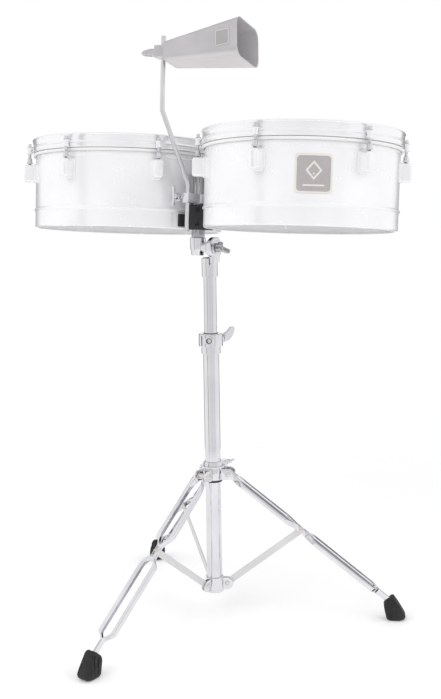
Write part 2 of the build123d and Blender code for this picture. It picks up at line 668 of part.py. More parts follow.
def cowbell_wing_nut():
    """Wing nut and its bolt, through the jaw's two ears."""
    outline = [(8.2, -4), (9, -17.5), (14.5, -17.5), (12, 0), (14.5, 17.5), (9, 17.5), (8.2, 4)]
    nut = along_x(2.5, -20, 12) + along_x(6.0, 0, 9) + plate(outline, 3.4)
    bolt_head = along_x(4.6, -18.6, -15.0)
    x, y = ROD_FOOT[0] - NUT_OUT, ROD_FOOT[1] - JAW_HALF - FREE
    return Pos(x, y, CLAMP_Z + NUT_UP) * Rot(0, 0, -90) * (nut + bolt_head)


def cowbell_rod():
    """Round rod bent twice, so that its two ends are parallel."""
    path = FilletPolyline(ROD_FOOT, ROD_LOW_BEND, ROD_HIGH_BEND, ROD_TIP, radius=14.0)
    return sweep(Plane(ROD_FOOT, z_dir=(0, 0, 1)) * Circle(ROD_R), path=path)


def bell_frame():
    """Frame at the middle of the bell's closed end, X towards the mouth."""
    return Pos(ROD_TIP[0], ROD_TIP[1], BELL_Z) * Rot(0, 0, BELL_TURN) * Pos(BELL_OFFSET, 0, 0)


def bell_lean():
    """Lean of the bell's body on its bracket: rolled, pitched up and set low."""
    return Pos(BELL_AHEAD, 0, -BELL_DOWN) * Rot(BELL_ROLL, BELL_PITCH, 0)


def bell_solid(inset, x0, x1):
    """Tapering rounded block between two stations along the bell."""
    faces = []
    for x in (x0, x1):
        t = x / BELL_LONG
        wide = BELL_END[0] + t * (BELL_MOUTH[0] - BELL_END[0]) - 2 * inset
        tall = BELL_END[1] + t * (BELL_MOUTH[1] - BELL_END[1]) - 2 * inset
        r = BELL_END[2] + t * (BELL_MOUTH[2] - BELL_END[2]) - inset
        section = Plane(origin=(x, 0, 0), x_dir=(0, 1, 0), z_dir=(1, 0, 0))
        faces.append(section * RectangleRounded(wide, tall, r))
    return loft(faces)


def cowbell():
    """Hollow bell, open at its wide end."""
    return bell_solid(0, 0, BELL_LONG) - bell_solid(BELL_WALL, 2.0, BELL_LONG + PAST)


def cowbell_bracket():
    """Block that fits the closed end, bored for the rod."""
    body = block(-BELL_OFFSET - 12.5, 3.0, -11, 11, -10.5, 10.5)
    body = fillet(body.edges().filter_by(Axis.X), 2.5)
    body -= bell_lean() * bell_solid(0, 0, BELL_LONG)
    body -= cyl(ROD_R + FIT, -40, 40, -BELL_OFFSET, 0)
    return body - along_x(3.1, -BELL_OFFSET - 20, -BELL_OFFSET)


def cowbell_thumb_screw():
    """Long thumb screw that tapers away from the bell."""
    outline = [(0, -4.5), (9, -7.5), (19, -5.5), (29, -3.6), (29, 3.6), (19, 5.5), (9, 7.5), (0, 4.5)]
    screw = along_x(3.0, -8, 2) + along_x(4.6, 0, 16) + plate(outline, 5.0)
    return Pos(-BELL_OFFSET - 12.5 - FREE, 0, 0) * Rot(0, 0, 180) * screw


def cowbell_label():
    """Small square label near the mouth, on the narrow side that faces the audience."""
    slope = degrees(atan2((BELL_MOUTH[0] - BELL_END[0]) / 2, BELL_LONG))
    x = 118.0
    y = -(BELL_END[0] + x / BELL_LONG * (BELL_MOUTH[0] - BELL_END[0])) / 2
    label = Box(27.0, 0.4, 27.0)
    return Pos(x, y - 0.28, 0) * Rot(0, 0, -slope) * label


def build_cowbell():
    place = carrier * bell_frame()
    leaning = place * bell_lean()
    add("cowbell_clamp", cowbell_clamp(), carrier)
    add("cowbell_wing_nut", cowbell_wing_nut(), carrier)
    add("cowbell_rod", cowbell_rod(), carrier)
    add("cowbell", cowbell(), leaning)
    add("cowbell_bracket", cowbell_bracket(), place)
    add("cowbell_thumb_screw", cowbell_thumb_screw(), place)
    add("cowbell_label", cowbell_label(), leaning)


def middle_on_floor():
    """Move that puts the origin on the floor under the middle of the whole object."""
    boxes = [shape.bounding_box() for shape in parts.values()]
    x = (min(b.min.X for b in boxes) + max(b.max.X for b in boxes)) / 2
    y = (min(b.min.Y for b in boxes) + max(b.max.Y for b in boxes)) / 2
    return Pos(-x, -y, -min(b.min.Z for b in boxes))


build_column()
build_hub()
build_legs()
build_upper_column()
build_carrier()
for one_drum in DRUMS:
    build_drum(one_drum)
build_cowbell()

os.makedirs("parts", exist_ok=True)
home = middle_on_floor()
for node, shape in parts.items():
    export_step(home * shape, f"parts/{node}.step")
print(len(parts), "nodes; stand axis at", home.position)
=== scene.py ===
"""Timbales: the looks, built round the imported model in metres, in its own frame."""
import json
from math import atan2, cos, degrees, hypot, pi, radians, sin, sqrt

import bmesh
import bpy
from mathutils import Matrix, Vector


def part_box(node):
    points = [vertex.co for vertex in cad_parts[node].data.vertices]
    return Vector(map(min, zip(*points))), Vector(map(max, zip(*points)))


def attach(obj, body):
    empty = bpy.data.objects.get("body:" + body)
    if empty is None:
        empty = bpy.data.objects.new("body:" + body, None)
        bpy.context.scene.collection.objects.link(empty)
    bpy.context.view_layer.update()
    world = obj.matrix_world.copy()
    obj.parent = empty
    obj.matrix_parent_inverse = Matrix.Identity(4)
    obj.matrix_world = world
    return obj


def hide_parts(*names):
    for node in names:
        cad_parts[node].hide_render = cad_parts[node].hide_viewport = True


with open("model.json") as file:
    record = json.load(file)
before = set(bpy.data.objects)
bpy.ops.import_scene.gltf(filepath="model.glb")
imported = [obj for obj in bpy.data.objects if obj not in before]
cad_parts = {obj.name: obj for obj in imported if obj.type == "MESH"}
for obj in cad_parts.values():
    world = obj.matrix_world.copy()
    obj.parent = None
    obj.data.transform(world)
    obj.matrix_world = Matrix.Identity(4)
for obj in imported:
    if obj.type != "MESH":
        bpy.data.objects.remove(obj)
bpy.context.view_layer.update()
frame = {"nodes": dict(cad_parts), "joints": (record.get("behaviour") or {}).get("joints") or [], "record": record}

MM = 0.001
ROUND, TUBE_ROUND, SMALL_ROUND, TINY_ROUND = 192, 96, 32, 24
RIVET_HEAD_R, RIVET_HEAD_TALL = 4.8, 1.9
BRACE_WIDE, BRACE_THICK = 12.0, 3.2
BELL_ROLL, BELL_PITCH = -5.5, -4.6


# ---- places: every local frame is in millimetres ----
def joint(name):
    """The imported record's joint of that name."""
    return next(j for j in frame["joints"] if j["name"] == name)


def space_of(origin, x_axis, z_axis):
    """Frame in millimetres from its origin, its X axis and roughly its Z axis."""
    x = Vector(x_axis).normalized()
    y = Vector(z_axis).cross(x).normalized()
    z = x.cross(y)
    matrix = Matrix((x, y, z)).transposed().to_4x4()
    matrix.translation = Vector(origin)
    return matrix @ Matrix.Scale(MM, 4)


def extent(node, space):
    """Lowest and highest corner of a CAD node, measured in another frame."""
    back = space.inverted()
    points = [back @ v.co for v in frame["nodes"][node].data.vertices]
    low = Vector(min(p[i] for p in points) for i in range(3))
    high = Vector(max(p[i] for p in points) for i in range(3))
    return low, high


def solid_middles(node, space):
    """Middle of each separate solid of a CAD node, in another frame."""
    shape = bmesh.new()
    shape.from_mesh(frame["nodes"][node].data)
    bmesh.ops.remove_doubles(shape, verts=shape.verts, dist=0.01 * MM)
    back = space.inverted()
    left = set(shape.verts)
    middles = []
    while left:
        found = [left.pop()]
        for vert in found:
            for edge in vert.link_edges:
                other = edge.other_vert(vert)
                if other in left:
                    left.remove(other)
                    found.append(other)
        total = sum((back @ v.co for v in found), Vector())
        middles.append(total / len(found))
    shape.free()
    return middles


def shift(x=0.0, y=0.0, z=0.0):
    """Move by a distance along each axis."""
    return Matrix.Translation((x, y, z))


def turn(angle, axis="Z"):
    """Rotation in degrees."""
    return Matrix.Rotation(radians(angle), 4, axis)


def lying(place):
    """Frame whose Z runs along another frame's X."""
    return place @ turn(90, "Y")


CARRIER = space_of(joint("drum_tilt")["pos_m"], joint("drum_tilt")["axis"],
                   joint("left_head_lift")["axis"])
TUBE_LOW, TUBE_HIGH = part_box("lower_tube")
STAND = shift((TUBE_LOW.x + TUBE_HIGH.x) / 2, (TUBE_LOW.y + TUBE_HIGH.y) / 2) @ Matrix.Scale(MM, 4)
BELL = space_of(joint("bell_turn")["pos_m"], -Vector(joint("bell_screw_turn")["axis"]),
                joint("bell_turn")["axis"])
BELL_BODY = BELL @ turn(BELL_ROLL, "X") @ turn(BELL_PITCH, "Y")
LEGS = (1, 2, 3)
BODIES = {node: body for body, nodes in frame["record"]["behaviour"]["bodies"].items()
          for node in nodes}


def spoke_of(pivot, axis, z_axis=(0, 0, 1)):
    """Frame at a pivot with X along the screw or pin that turns there."""
    return space_of(joint(pivot)["pos_m"], axis, z_axis)


def azimuth(point):
    """Direction of a point about a frame's Z, in degrees."""
    return degrees(atan2(point.y, point.x))


def in_stand(pivot):
    """Where a joint sits in the stand's frame."""
    return STAND.inverted() @ Vector(joint(pivot)["pos_m"])


def leg_azimuth(number):
    """Direction in which a leg points, in degrees."""
    axis = joint(f"leg_{number}_swing")["axis"]
    return degrees(atan2(-axis[0], axis[1]))


def leg_space(number):
    """Frame at a leg's hub pivot: X down the leg, Y across it."""
    low, high = extent(f"leg_{number}_hardware", STAND @ turn(leg_azimuth(number)))
    pivot = in_stand(f"leg_{number}_swing")
    rise = pivot.z - (low.z + RIVET_HEAD_R)
    run = high.x - RIVET_HEAD_R - pivot.xy.length
    slope = degrees(atan2(rise, run))
    return STAND @ turn(leg_azimuth(number)) @ shift(pivot.xy.length, 0, pivot.z) @ turn(slope, "Y")


def brace_space(number):
    """Frame at a brace's lower pivot: X along the brace, Y across it."""
    pivot = in_stand(f"brace_{number}_swing")
    upright = STAND @ turn(leg_azimuth(number)) @ shift(pivot.xy.length, 0, pivot.z)
    high = extent(f"leg_{number}_brace", upright)[1]
    slope = degrees(atan2(high.z - BRACE_WIDE / 2, high.x - BRACE_WIDE / 2))
    return upright @ turn(-slope, "Y")


# ---- materials ----
def new_material(name):
    """Material with its nodes, its links and its shader."""
    material = bpy.data.materials.new(name)
    material.use_nodes = True
    nodes = material.node_tree.nodes
    return material, nodes, material.node_tree.links, nodes["Principled BSDF"]


def noise(nodes, links, scale, detail=3.0, stretch=(1, 1, 1)):
    """Noise in the object's own coordinates."""
    place = nodes.new("ShaderNodeTexCoord")
    mapping = nodes.new("ShaderNodeMapping")
    mapping.inputs["Scale"].default_value = stretch
    texture = nodes.new("ShaderNodeTexNoise")
    texture.inputs["Scale"].default_value = scale
    texture.inputs["Detail"].default_value = detail
    links.new(place.outputs["Object"], mapping.inputs["Vector"])
    links.new(mapping.outputs["Vector"], texture.inputs["Vector"])
    return texture.outputs["Fac"]


def ranged(nodes, links, value, low, high, start=0.3, end=0.7):
    """Value mapped from start..end to low..high."""
    node = nodes.new("ShaderNodeMapRange")
    node.inputs["From Min"].default_value = start
    node.inputs["From Max"].default_value = end
    node.inputs["To Min"].default_value = low
    node.inputs["To Max"].default_value = high
    links.new(value, node.inputs["Value"])
    return node.outputs["Result"]


def tinted(nodes, links, value, dark, light):
    """Colour that goes from dark to light with a value."""
    mix = nodes.new("ShaderNodeMix")
    mix.data_type = "RGBA"
    mix.inputs["A"].default_value = (*dark, 1)
    mix.inputs["B"].default_value = (*light, 1)
    links.new(value, mix.inputs["Factor"])
    return mix.outputs["Result"]


def bumped(nodes, links, height, shader, distance, strength=0.3):
    """Fine relief on a shader, its distance in metres."""
    bump = nodes.new("ShaderNodeBump")
    bump.inputs["Distance"].default_value = distance
    bump.inputs["Strength"].default_value = strength
    links.new(height, bump.inputs["Height"])
    links.new(bump.outputs["Normal"], shader.inputs["Normal"])


def chrome(name, dark, light, smooth, rough, ripple=0.04, metal=1.0):
    """Plated metal: faint tarnish clouds, smudged roughness and slight ripple."""
    material, nodes, links, shader = new_material(name)
    shader.inputs["Metallic"].default_value = metal
    clouds = ranged(nodes, links, noise(nodes, links, 14.0), 0.0, 1.0)
    links.new(tinted(nodes, links, clouds, dark, light), shader.inputs["Base Color"])
    smudge = ranged(nodes, links, noise(nodes, links, 60.0, 6.0), smooth, rough)
    links.new(smudge, shader.inputs["Roughness"])
    bumped(nodes, links, noise(nodes, links, 25.0, 1.0), shader, 0.001, ripple)
    return material


def plastic(name, dark, light, smooth, rough, grain, depth):
    """Moulded plastic, rubber or paint with grain."""
    material, nodes, links, shader = new_material(name)
    clouds = ranged(nodes, links, noise(nodes, links, 20.0), 0.0, 1.0)
    links.new(tinted(nodes, links, clouds, dark, light), shader.inputs["Base Color"])
    worn = ranged(nodes, links, noise(nodes, links, 90.0, 5.0), smooth, rough)
    links.new(worn, shader.inputs["Roughness"])
    bumped(nodes, links, noise(nodes, links, grain, 4.0), shader, depth, 0.5)
    return material


def bell_metal():
    """Satin plated sheet steel, paler on the underside, where light is painted into the colour."""
    material, nodes, links, shader = new_material("satin bell steel")
    shader.inputs["Metallic"].default_value = 0.35
    clouds = ranged(nodes, links, noise(nodes, links, 18.0, 4.0), 0.0, 1.0)
    worn = tinted(nodes, links, clouds, (0.50, 0.485, 0.495), (0.58, 0.565, 0.575))
    facing = nodes.new("ShaderNodeTexCoord")
    split = nodes.new("ShaderNodeSeparateXYZ")
    links.new(facing.outputs["Normal"], split.inputs["Vector"])
    # painted light: faces that turn downwards are mixed towards a pale grey
    under = ranged(nodes, links, split.outputs["Z"], 1.0, 0.0, -0.9, -0.3)
    underside_painted_light = nodes.new("ShaderNodeMix")
    underside_painted_light.data_type = "RGBA"
    underside_painted_light.inputs["B"].default_value = (0.82, 0.78, 0.79, 1)
    links.new(under, underside_painted_light.inputs["Factor"])
    links.new(worn, underside_painted_light.inputs["A"])
    links.new(underside_painted_light.outputs["Result"], shader.inputs["Base Color"])
    smudge = ranged(nodes, links, noise(nodes, links, 45.0, 6.0), 0.34, 0.5)
    links.new(smudge, shader.inputs["Roughness"])
    bumped(nodes, links, noise(nodes, links, 220.0, 2.0), shader, 0.0005, 0.10)
    return material


def film():
    """Coated plastic head: milky, with a worn patch of fine speckle."""
    material, nodes, links, shader = new_material("coated film")
    speckle = ranged(nodes, links, noise(nodes, links, 900.0, 2.0), 0.0, 1.0)
    links.new(tinted(nodes, links, speckle, (0.84, 0.84, 0.83), (0.90, 0.90, 0.89)),
              shader.inputs["Base Color"])
    worn = ranged(nodes, links, noise(nodes, links, 30.0, 4.0), 0.38, 0.55)
    links.new(worn, shader.inputs["Roughness"])
    bumped(nodes, links, noise(nodes, links, 900.0, 2.0), shader, 0.0002, 0.3)
    return material


PALE = ((0.90, 0.90, 0.91), (0.95, 0.95, 0.96))
STEEL = ((0.68, 0.68, 0.705), (0.79, 0.79, 0.81))
MATERIALS = {
    "shell_chrome": chrome("shell chrome", *PALE, 0.20, 0.28, 0.03, metal=0.30),
    "hoop_chrome": chrome("hoop chrome", *PALE, 0.12, 0.2, metal=0.55),
    "lug_chrome": chrome("lug chrome", *PALE, 0.12, 0.2, metal=0.45),
    "tube_chrome": chrome("tube chrome", *STEEL, 0.05, 0.13),
    "cast_chrome": chrome("cast chrome", *STEEL, 0.09, 0.20, 0.015),
    "fastener_chrome": chrome("fastener chrome", *STEEL, 0.12, 0.26),
    "head_film": film(),
    "bell_steel": bell_metal(),
    "bell_label": plastic("bell label", (0.37, 0.355, 0.36), (0.41, 0.395, 0.40),
                          0.25, 0.4, 300.0, 0.0001),
    "badge_enamel": plastic("badge enamel", (0.40, 0.375, 0.385), (0.45, 0.425, 0.435),
                            0.22, 0.36, 200.0, 0.0001),
    "rubber": plastic("rubber", (0.007, 0.0065, 0.007), (0.015, 0.014, 0.015),
                      0.5, 0.75, 350.0, 0.0003),
    "black_plastic": plastic("black nylon", (0.018, 0.018, 0.019), (0.03, 0.03, 0.031),
                             0.35, 0.5, 300.0, 0.0002),
    "black_cast": plastic("black powder coat", (0.012, 0.011, 0.013), (0.022, 0.021, 0.023),
                          0.38, 0.55, 420.0, 0.0004),
}
# Paler copy of the bell's colour for its inside: painted light where the inside lies in shade.
INSIDE_PAINTED_LIGHT = plastic("bell inside painted light", (0.56, 0.545, 0.555), (0.62, 0.605, 0.615), 0.5, 0.7, 300.0, 0.0001)
DULL = chrome("dull zinc", (0.66, 0.65, 0.65), (0.72, 0.71, 0.71), 0.34, 0.44, 0.01, metal=0.4)
WARM = chrome("worn rivet", (0.68, 0.63, 0.60), (0.78, 0.74, 0.71), 0.22, 0.34, 0.02, metal=0.8)
CREAM = plastic("cream line", (0.74, 0.70, 0.61), (0.82, 0.78, 0.70), 0.3, 0.45, 300.0, 0.0001)
# Darker copy of the chrome: painted dark reflection on the post and the tilter's wing bolt.
CHROME_PAINTED_DARK = chrome("chrome painted dark", (0.40, 0.40, 0.41), (0.50, 0.50, 0.51), 0.03, 0.08, 0.02)

SLOTS = {entry["node"]: entry["material_slot"] for entry in frame["record"]["subparts"]}
for node_name, node_object in frame["nodes"].items():
    node_object.data.materials.clear()
    node_object.data.materials.append(MATERIALS[SLOTS[node_name]])


# ---- plain shapes ----
def arc(x, z, r, start, end, steps=6):
    """Points of an arc, angles in degrees."""
    return [(x + r * cos(radians(start + (end - start) * n / steps)),
             z + r * sin(radians(start + (end - start) * n / steps))) for n in range(steps + 1)]


def rounded(wide, tall, r, steps=6):
    """Outline of a rounded rectangle about the origin."""
    x, z = wide / 2 - r, tall / 2 - r
    corners = ((x, z, 0), (-x, z, 90), (-x, -z, 180), (x, -z, 270))
    return [p for cx, cz, start in corners for p in arc(cx, cz, r, start, start + 90, steps)]


def softened_outline(points, rounds=3, keep=0.75):
    """Closed outline with its corners cut again and again, until it is smooth."""
    for _ in range(rounds):
        pairs = list(zip(points, points[1:] + points[:1]))
        points = [tuple(a[i] * w + b[i] * (1 - w) for i in range(2))
                  for a, b in pairs for w in (keep, 1 - keep)]
    return points


def dense(outline, step=2.5):
    """Closed outline with more points along its long straight runs."""
    points = []
    for a, b in zip(outline, outline[1:] + outline[:1]):
        count = max(1, round(hypot(b[0] - a[0], b[1] - a[1]) / step))
        points += [(a[0] + (b[0] - a[0]) * n / count, a[1] + (b[1] - a[1]) * n / count)
                   for n in range(count)]
    return points


def swell(z0, z1, height, steps=8):
    """Smooth bead between two heights, as (offset, height) points."""
    return [(height * sin(pi * n / steps) ** 2, z0 + (z1 - z0) * n / steps)
            for n in range(steps + 1)]


def lathe(shape, outline, place, count=SMALL_ROUND, start=0.0, sweep=360.0):
    """Solid of revolution about a frame's Z from a closed outline of (r, z) points."""
    whole = sweep == 360.0
    rows = []
    for n in range(count):
        spoke = place @ turn(start + sweep * n / (count if whole else count - 1))
        rows.append([shape.verts.new(spoke @ Vector((r, 0, z))) for r, z in outline])
    if not whole:
        shape.faces.new(rows[0])
        shape.faces.new(rows[-1])
    for n, row in enumerate(rows if whole else rows[:-1]):
        following = rows[(n + 1) % count]
        for i in range(len(outline)):
            j = (i + 1) % len(outline)
            shape.faces.new((row[i], following[i], following[j], row[j]))


def band(shape, rows):
    """Faces between one closed row of vertices and the next."""
    for row, following in zip(rows, rows[1:]):
        for i in range(len(row)):
            j = (i + 1) % len(row)
            shape.faces.new((row[i], row[j], following[j], following[i]))


def loft(shape, rings, place):
    """Closed skin through rings of points in a frame, capped at both ends."""
    rows = [[shape.verts.new(place @ Vector(p)) for p in ring] for ring in rings]
    band(shape, rows)
    shape.faces.new(rows[0])
    shape.faces.new(rows[-1])


def slab(shape, outline, thick, place):
    """Outline in a frame's XZ plane, with thickness across Y."""
    loft(shape, [[(x, y, z) for x, z in outline] for y in (-thick / 2, thick / 2)], place)


def across(outline, x):
    """Outline of (y, z) points set up at a station along X."""
    return [(x, y, z) for y, z in outline]


def piece(name, shape, node, soft=0.0, material=None):
    """Finished object that rides with the CAD node it stands for."""
    bmesh.ops.remove_doubles(shape, verts=shape.verts, dist=0.002 * MM)
    bmesh.ops.recalc_face_normals(shape, faces=shape.faces)
    mesh = bpy.data.meshes.new(name)
    shape.to_mesh(mesh)
    shape.free()
    mesh.shade_smooth()
    thing = bpy.data.objects.new(name, mesh)
    bpy.context.scene.collection.objects.link(thing)
    mesh.materials.append(material or MATERIALS[SLOTS[node]])
    if soft:
        bevel = thing.modifiers.new("edges", "BEVEL")
        bevel.width = soft * MM
        bevel.segments = 3
        bevel.limit_method = "ANGLE"
        bevel.angle_limit = radians(35)
        bevel.harden_normals = True
    else:
        mesh.set_sharp_from_angle(angle=radians(38))
    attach(thing, BODIES[node])
    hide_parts(node)
    return thing


def eased(node, soft):
    """Copy of a CAD node's shape with its hard edges rounded off."""
    shape = bmesh.new()
    shape.from_mesh(frame["nodes"][node].data)
    shape.transform(frame["nodes"][node].matrix_world)
    bmesh.ops.remove_doubles(shape, verts=shape.verts, dist=0.005 * MM)
    bmesh.ops.dissolve_limit(shape, angle_limit=radians(1), verts=shape.verts, edges=shape.edges)
    return piece(node + ".eased", shape, node, soft)


# ---- drums ----
BEAD_OUT = 2.4
SHELL_WALL = 1.5
BOLT_R = 2.9
BOLT_KINDS = ("lugs", "claws", "tension_bolts", "lug_inserts", "lug_screws")


def drum_seat(side):
    """Frame on a drum's axis at its lower edge, and the shell's radius."""
    low, high = extent(side + "_shell", CARRIER)
    r = (high.x - low.x) / 2 - BEAD_OUT
    return CARRIER @ shift((low.x + high.x) / 2, (low.y + high.y) / 2, low.z), r


def shell(side):
    """Spun shell with a wide bead low down, a fine one high up and rolled edges."""
    seat, r = drum_seat(side)
    tall = extent(side + "_shell", seat)[1].z
    wave = swell(29, 37, BEAD_OUT) + swell(120.5, 125.5, 0.9, 6)
    outside = arc(-3, 3, 3, -90, 0) + wave + arc(-4, tall - 4, 4, 0, 75)
    inside = arc(-4, tall - 5.5, 2.5, 75, 0) + [(d - SHELL_WALL, z) for d, z in reversed(wave)]
    inside += arc(-3, 3, 1.5, 0, -90) + [(-5, 1.5), (-5, 0)]
    shape = bmesh.new()
    lathe(shape, [(r + d, z) for d, z in outside + inside], seat, ROUND)
    piece(side + "_shell.spun", shape, side + "_shell")


def drumhead(side):
    """Film pulled over the shell's edge, crimped in its flesh hoop."""
    seat, r = drum_seat(side)
    low, top = (corner.z for corner in extent(side + "_drumhead", seat))
    shape = bmesh.new()
    under = [(0, top - 0.7), (r - 4, top - 0.7)] + arc(r - 4, top - 5, 4.3, 90, 0)
    over = arc(r - 4, top - 5, 5.0, 0, 90) + [(0, top)]
    lathe(shape, under + [(r + 0.3, low + 6), (r + 1.0, low + 6)] + over, seat, ROUND)
    flesh = rounded(4.6, 5.2, 1.4, 4)
    lathe(shape, [(r + 3.1 + x, low + 2.9 + z) for x, z in flesh], seat, ROUND)
    piece(side + "_drumhead.film", shape, side + "_drumhead")


def counter_hoop(side):
    """Pressed hoop: rolled rim, upright wall, ledge that the claws grip, and a skirt."""
    seat, r = drum_seat(side)
    low, top = (corner.z for corner in extent(side + "_counter_hoop", seat))
    ledge = low + (top - low) * 0.415
    outline = [(4.4, top - 3.0)] + arc(5.8, top - 1.5, 1.4, 180, -60, 10)
    outline += [(6.0, top - 3.4)] + arc(7.2, ledge + 1.2, 1.2, 180, 270, 4)
    outline += arc(7.5, ledge - 1.1, 1.1, 90, -90, 6) + arc(7.6, ledge - 3.2, 1.0, 90, 180, 4)
    outline += [(6.6, low + 2.4)] + arc(6.5, low + 1.1, 1.1, 40, -90, 5) + [(5.2, low), (5.2, low + 2)]
    outline += [(5.0, ledge - 4)] + [(4.4, ledge - 1)]
    shape = bmesh.new()
    lathe(shape, [(r + d, z) for d, z in outline], seat, ROUND)
    piece(side + "_counter_hoop.pressed", shape, side + "_counter_hoop")
    return r, seat, low, ledge


def lug(shape, spoke, r, low, high, deep):
    """Rounded cast box on a slightly larger base flange."""
    middle, tall = (low + high) / 2, high - low
    stations = ((-1.0, 24, 0.0), (1.8, 24, 0.0), (2.5, 23, 0.6), (2.9, 20, 1.6), (deep - 5, 19, 2.0),
                (deep - 2, 17.4, 2.8), (deep - 0.6, 14.5, 4.2), (deep, 11, 6.0))
    rings = []
    for x, wide, trim in stations:
        ring = rounded(wide, tall - 2 * trim, wide * 0.32)
        rings.append(across([(y, middle + z) for y, z in ring], r + x))
    loft(shape, rings, spoke)


def claw(shape, spoke, axis, ledge, low):
    """Hook over the ledge with a waisted boss round the bolt."""
    hook = [(-5.0, 2.4), (5.0, 2.4), (5.0, 0.1), (-5.0, 0.1)]
    loft(shape, [across([(y, ledge + z) for y, z in hook], x) for x in (axis - 5.4, axis)], spoke)
    place = spoke @ shift(axis)
    lathe(shape, [(3.0, ledge + 2.6), (4.4, ledge + 2.6), (5.2, ledge + 1.6), (5.0, ledge - 2),
                  (4.2, ledge - 4), (4.4, low + 5), (5.2, low + 3), (5.2, low + 1.4),
                  (4.2, low + 0.6), (3.0, low + 0.6)], place)


def tension_bolt(shape, spoke, axis, low, top):
    """Threaded rod, round collar and chamfered square key head."""
    place = spoke @ shift(axis)
    collar = top - 6.6
    thread = []
    z = low
    while z < collar - 14:
        thread += [(BOLT_R, z), (BOLT_R - 0.4, z + 0.5)]
        z += 1.0
    plain = [(BOLT_R, z), (BOLT_R, collar), (4.8, collar + 0.1), (4.8, collar + 1.0),
             (4.2, collar + 1.4), (0, collar + 1.4)]
    lathe(shape, [(0, low)] + thread + plain, place)
    rings = []
    for z, wide in ((collar + 1.3, 5.6), (top - 1.0, 5.6), (top - 0.3, 4.9), (top, 3.6)):
        rings.append([(x, y, z) for x, y in rounded(wide, wide, 0.6, 2)])
    loft(shape, rings, place)


def lug_insert(shape, spoke, axis, low, top):
    """Stepped nut that stands on a lug and takes the bolt."""
    place = spoke @ shift(axis)
    lathe(shape, [(3.0, low), (6.0, low), (6.0, low + 1.6), (5.0, low + 2.6), (4.6, low + 3.2),
                  (4.0, top - 1.4), (3.6, top), (3.0, top)], place)


def screw_head(shape, spoke, inside, z):
    """Washer and pan head on the inside of a shell."""
    place = spoke @ shift(inside, 0, z) @ turn(-90, "Y")
    lathe(shape, [(0, 0), (6.0, 0), (6.0, 1.0), (5.6, 1.2), (4.2, 1.2), (4.2, 2.6), (3.6, 3.6),
                  (2.4, 4.1), (0, 4.2)], place, TINY_ROUND)


def drum(side):
    """One drum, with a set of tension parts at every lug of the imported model."""
    shell(side)
    drumhead(side)
    r, seat, low, ledge = counter_hoop(side)
    lug_low, lug_high = (corner.z for corner in extent(side + "_lugs", seat))
    angles = [azimuth(middle) for middle in solid_middles(side + "_lugs", seat)]
    axis = solid_middles(side + "_tension_bolts", seat)[0].xy.length
    deep = extent(side + "_lugs", seat @ turn(angles[0]))[1].x - r
    bolt_low, bolt_top = (corner.z for corner in extent(side + "_tension_bolts", seat))
    insert_top = extent(side + "_lug_inserts", seat)[1].z
    shapes = {kind: bmesh.new() for kind in BOLT_KINDS}
    for angle in angles:
        spoke = seat @ turn(angle)
        lug(shapes["lugs"], spoke, r, lug_low, lug_high, deep)
        claw(shapes["claws"], spoke, axis, ledge, low)
        tension_bolt(shapes["tension_bolts"], spoke, axis, bolt_low, bolt_top)
        lug_insert(shapes["lug_inserts"], spoke, axis, lug_high, insert_top)
        for z in (lug_low + 8.5, lug_high - 8.5):
            screw_head(shapes["lug_screws"], spoke, r - SHELL_WALL - 0.1, z)
    for kind, shape in shapes.items():
        node = f"{side}_{kind}"
        piece(node + ".set", shape, node)


# ---- badge and label ----
def bent_slab(shape, outer, inner, r0, r1, place):
    """Frame or plate wrapped on a cylinder: outlines of (arc length, height) points."""
    def at(point, r):
        angle = point[0] / r0
        return place @ Vector((r * cos(angle), r * sin(angle), point[1]))

    band(shape, [[shape.verts.new(at(p, r)) for p in outline]
                 for outline, r in ((outer, r0), (outer, r1), (inner, r1), (inner, r0))])


def badge():
    """Square badge bent to the shell, with a border, a plain diamond and a bar."""
    seat, r = drum_seat("right")
    middle = sum(solid_middles("right_badge", seat), Vector())
    place = seat @ turn(azimuth(middle))
    low, high = extent("right_badge", place)
    wide, tall = high.y - low.y, high.z - low.z
    centre = (low.z + high.z) / 2

    def at_height(outline, up=0.0):
        return [(x, z + centre + up) for x, z in outline]

    full = dense(rounded(wide, tall, 6.0, 8))
    steps = [at_height([(x * k, z * k) for x, z in full]) for k in (1.0, 0.98, 0.7, 0.4, 0.05)]
    plate = bmesh.new()
    for outer, inner in zip(steps, steps[1:]):
        bent_slab(plate, outer, inner, r + 0.05, r + 0.55, place)
    piece("right_badge.plate", plate, "right_badge")
    lines = bmesh.new()
    for outline, keep, up in ((full, 0.91, 0), ([(0, 15), (-13, 0), (0, -15), (13, 0)], 0.72, 5),
                              (rounded(34, 2.6, 1.2), 0.02, -18)):
        outer = dense(outline)
        inner = [(x * keep, z * keep) for x, z in outer]
        bent_slab(lines, at_height(outer, up), at_height(inner, up), r + 0.4, r + 0.9, place)
    piece("right_badge.lines", lines, "right_badge", material=CREAM)


def label():
    """Small square label with a plain line border, on the bell's sloping side."""
    low, high = extent("cowbell_label", BELL_BODY)
    slope = degrees(atan2(high.y - low.y - 0.4, high.x - low.x))
    middle = (low + high) / 2
    place = BELL_BODY @ shift(*middle) @ turn(-slope)
    wide = high.z - low.z
    shape = bmesh.new()
    slab(shape, rounded(wide, wide, 1.2), 0.3, place)
    piece("cowbell_label.plate", shape, "cowbell_label")
    lines = bmesh.new()
    rows = []
    for size, y in ((wide - 1.6, -0.05), (wide - 1.6, -0.2), (wide - 3.4, -0.2), (wide - 3.4, -0.05)):
        rows.append([lines.verts.new(place @ Vector((x, y, z))) for x, z in rounded(size, size, 1.0)])
    band(lines, rows)
    piece("cowbell_label.line", lines, "cowbell_label", material=CREAM)


# ---- cowbell, rod and clamp ----
BELL_END_WIDE, BELL_END_TALL, BELL_END_ROUND = 55.0, 34.5, 9.6
BELL_MOUTH_ROUND = 16.8
BELL_WALL = 1.6
ROD_BENDS = ((-20.5, -40.0, 26.0), (-20.5, -40.0, 109.0), (-47.8, -82.5, 233.0),
             (-47.8, -82.5, 358.0))
ROD_BEND_R = 14.0
ROD_R, ROD_TIP_R = 4.0, 2.6


